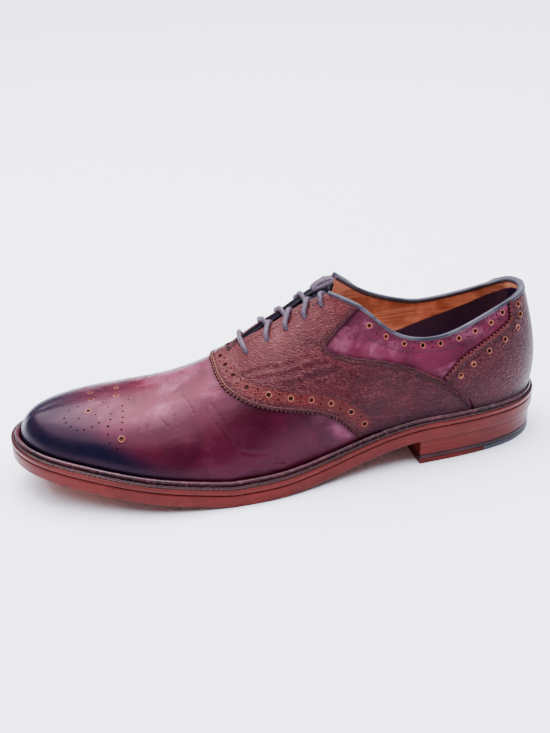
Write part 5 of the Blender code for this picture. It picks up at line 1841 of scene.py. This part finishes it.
@dataclass
class Lacing:
    """Waxed round lace: strands over both facings, and the tucked loop over the top row."""

    finishes: Finishes
    diameter: float = 2.8 * MM
    sides: int = 14
    leans: tuple = (0.0, 0.0122, 0.0156, 0.0118, 0.0025)
    inner_lean: float = 0.005
    inner_sink: float = 0.9 * MM
    leather: float = 1.45 * MM
    least_free: float = 0.03

    @property
    def over(self) -> float:
        """Lift of a lace's middle where it lies on the saddle."""
        return self.leather + self.diameter / 2

    def cord(self, name: str, paths: list[np.ndarray], outs: list[np.ndarray]) -> bpy.types.Object:
        """One mesh of round cords along paths, with a UV map that runs along them."""
        points, faces, maps, start = [], [], [], 0
        for path, out in zip(paths, outs):
            radius = ends_closed(path, self.diameter / 2)
            rows = round_rows(path, radius, self.sides, out)
            made, quads = swept(rows, True, False)
            reach = reach_along(path)
            maps.append(np.column_stack([np.repeat(reach / self.diameter, self.sides),
                                         np.tile(np.linspace(0, 1, self.sides, endpoint=False), len(path))]))
            points.append(made)
            faces.append(quads + start)
            start += len(made)
        faces = np.concatenate(faces)[:, ::-1]
        piece = mesh_piece(name, np.concatenate(points), faces, [self.finishes.lace])
        layer = piece.data.uv_layers.new(name="cord")
        corner = np.concatenate(maps)[faces.ravel()]
        layer.data.foreach_set("uv", corner.astype(np.float32).ravel())
        return piece

    def strand(self, row: int, side: Side) -> tuple[np.ndarray, np.ndarray]:
        """Strand from the slit over one facing's edge and down through its eyelet, leaning to the heel."""
        turn, rise = EYELETS[row]
        lean, sink = (self.leans[row], 0.0) if side is Side.OUTER else (self.inner_lean, self.inner_sink)
        rises = np.array([rise - 0.004, rise, rise + 0.022, rise + 0.6 * (0.99 - rise), 0.990])
        turns = turn - lean * np.array([0.0, 0.0, 0.08, 0.50, 1.0])
        lifts = np.array([-1.2 * MM, 0.6 * MM, self.over - 0.1 * MM, self.over + 0.3 * MM - sink,
                          self.over + 0.1 * MM - sink])
        places = side.place(np.column_stack([turns, rises]))
        points = LAST.skin(places[:, 0], places[:, 1], lifts)
        edge = points[-1]
        last = turns[-1]
        middle = LAST.top_line(np.array([last, 2.0 - last])).mean(axis=0)
        back = LAST.top_line(np.array([last - 0.012, 2.0 - last + 0.012])).mean(axis=0) - middle
        across = (middle - edge) * (1, 1, 0)
        dive = edge + across * 0.60 + back * 0.25 - np.array([0, 0, 1.6 * MM])
        deep = edge + across * 1.10 + back * 0.55 - np.array([0, 0, 5.2 * MM])
        path = through(np.vstack([points, [dive], [deep]]), 38)
        out = np.tile(LAST.out_way(np.array([turn]), np.array([0.9]))[0], (len(path), 1))
        return path, out

    def bar(self, turn: float, rise: float) -> tuple[np.ndarray, np.ndarray]:
        """Straight crossing of the lowest row, down through both eyelets."""
        rises = np.array([rise - 0.004, rise, rise + 0.02, (rise + 1) / 2, 0.990])
        lifts = np.array([-1.2 * MM, 0.6 * MM, self.over, self.over + 0.3 * MM, self.over + 0.3 * MM])
        halves = []
        for side in Side:
            places = side.place(np.column_stack([np.full(5, turn), rises]))
            halves.append(LAST.skin(places[:, 0], places[:, 1], lifts))
        middle = (halves[0][-1] + halves[1][-1]) / 2
        path = through(np.vstack([halves[0], [middle], halves[1][::-1]]), 60)
        out = np.tile([[0.0, -0.3, 1.0]], (len(path), 1))
        return path, out

    def crossings(self) -> bpy.types.Object:
        """Bar of the first row and two strands in each row above it."""
        made = [self.bar(*EYELETS[0])]
        for row in range(1, len(EYELETS)):
            made += [self.strand(row, side) for side in Side]
        return self.cord("lace_strands", [path for path, _ in made], [out for _, out in made])

    def middle(self, number: int) -> np.ndarray:
        """Middle of a row, over both facing edges, as the solids have it."""
        over = 2 * LAST.soft_gap + LAST.seat_gap + LAST.overlay + self.diameter / 2 + LAST.seat_gap
        turn = SOLID_ROWS[number]
        ends = LAST.skin(np.array([turn, 2.0 - turn]), np.full(2, 0.985), over)
        return ends.mean(axis=0)

    def loop(self) -> bpy.types.Object:
        """Tucked loop of lace over the top row."""
        top, below = self.middle(4), self.middle(3)
        back = (top - below) / np.linalg.norm(top - below)
        side = np.array([1.0, 0.0, 0.0])
        up = np.cross(side, back)
        up *= np.sign(up[2])
        turned = np.array([back, side, up])
        points = top + np.array(LOOP) @ turned * self.diameter
        path = through(points, 120)
        piece = self.cord("lace_loop", [path], [np.tile(side + 0.3 * up, (len(path), 1))])
        return piece

    def build(self) -> None:
        """Make the lace."""
        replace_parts(self.loop(), "lace_knot")
        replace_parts(self.crossings(), "lace_crossings")


@dataclass
class Studio:
    """Pale floor, soft light and the camera at the photograph's angle, in metres and degrees."""

    azimuth: float = 77.492
    elevation: float = 25.585
    roll: float = -1.713
    distance: float = 0.6102
    focal_pixels: float = 1053.36
    long_side: int = 733
    sensor: float = 36.0
    aim: tuple = (-0.00788, -0.00221, 0.05)

    def camera(self) -> None:
        """Camera: eye = aim + back * distance, with right and up turned by the roll."""
        a, e, r = (math.radians(v) for v in (self.azimuth, self.elevation, self.roll))
        back = np.array([math.sin(a) * math.cos(e), -math.cos(a) * math.cos(e), math.sin(e)])
        right = np.cross([0.0, 0.0, 1.0], back)
        right /= np.linalg.norm(right)
        up = np.cross(back, right)
        turned = math.cos(r) * right + math.sin(r) * up
        up = -math.sin(r) * right + math.cos(r) * up
        eye = np.array(self.aim) + back * self.distance
        data = bpy.data.cameras.new("camera")
        data.sensor_width = self.sensor
        data.lens = self.focal_pixels * self.sensor / self.long_side
        data.clip_start, data.clip_end = 0.01, 50.0
        camera = bpy.data.objects.new("camera", data)
        bpy.context.scene.collection.objects.link(camera)
        camera.matrix_world = Matrix((
            (turned[0], up[0], back[0], eye[0]),
            (turned[1], up[1], back[1], eye[1]),
            (turned[2], up[2], back[2], eye[2]),
            (0, 0, 0, 1)))
        bpy.context.scene.camera = camera

    def light(self, name: str, place: tuple, aim: tuple, size: float, power: float, colour: tuple) -> None:
        """One soft square lamp that looks at a point."""
        data = bpy.data.lights.new(name, "AREA")
        data.shape, data.size, data.energy, data.color = "SQUARE", size, power, colour
        lamp = bpy.data.objects.new(name, data)
        bpy.context.scene.collection.objects.link(lamp)
        lamp.location = place
        lamp.rotation_euler = (Vector(aim) - Vector(place)).to_track_quat("-Z", "Y").to_euler()

    def build(self) -> None:
        """Floor, world, lamps and camera."""
        s = Shader("floor_paper")
        paper = s.finish(to_linear(236, 238, 254), 0.8)
        mesh = bpy.data.meshes.new("floor")
        mesh.from_pydata([(-8, -8, 0), (8, -8, 0), (8, 8, 0), (-8, 8, 0)], [], [(0, 1, 2, 3)])
        mesh.materials.append(paper)
        floor = bpy.data.objects.new("floor", mesh)
        bpy.context.scene.collection.objects.link(floor)
        world = bpy.data.worlds.new("studio")
        world.use_nodes = True
        world.node_tree.nodes["Background"].inputs["Color"].default_value = to_linear(236, 240, 250)
        world.node_tree.nodes["Background"].inputs["Strength"].default_value = 0.22
        bpy.context.scene.world = world
        self.light("ceiling", (-1.2, 0.2, 3.4), (-1.2, 0.2, 0.0), 7.0, 1150.0, (0.965, 0.97, 1.0))
        self.light("window", (-0.35, -0.25, 1.5), (0.0, 0.0, 0.05), 0.9, 34.0, (1.0, 0.98, 0.98))
        self.camera()


def main() -> None:
    """Build the studio, the lace, the upper and the bottom in order."""
    logging.basicConfig(level=logging.INFO)
    Studio().build()
    finishes = Finishes()
    for part in (Lacing(finishes), Upper(finishes), Bottom(finishes)):
        part.build()
        LOG.info("%s done", type(part).__name__)


if __name__ == "__main__":
    main()
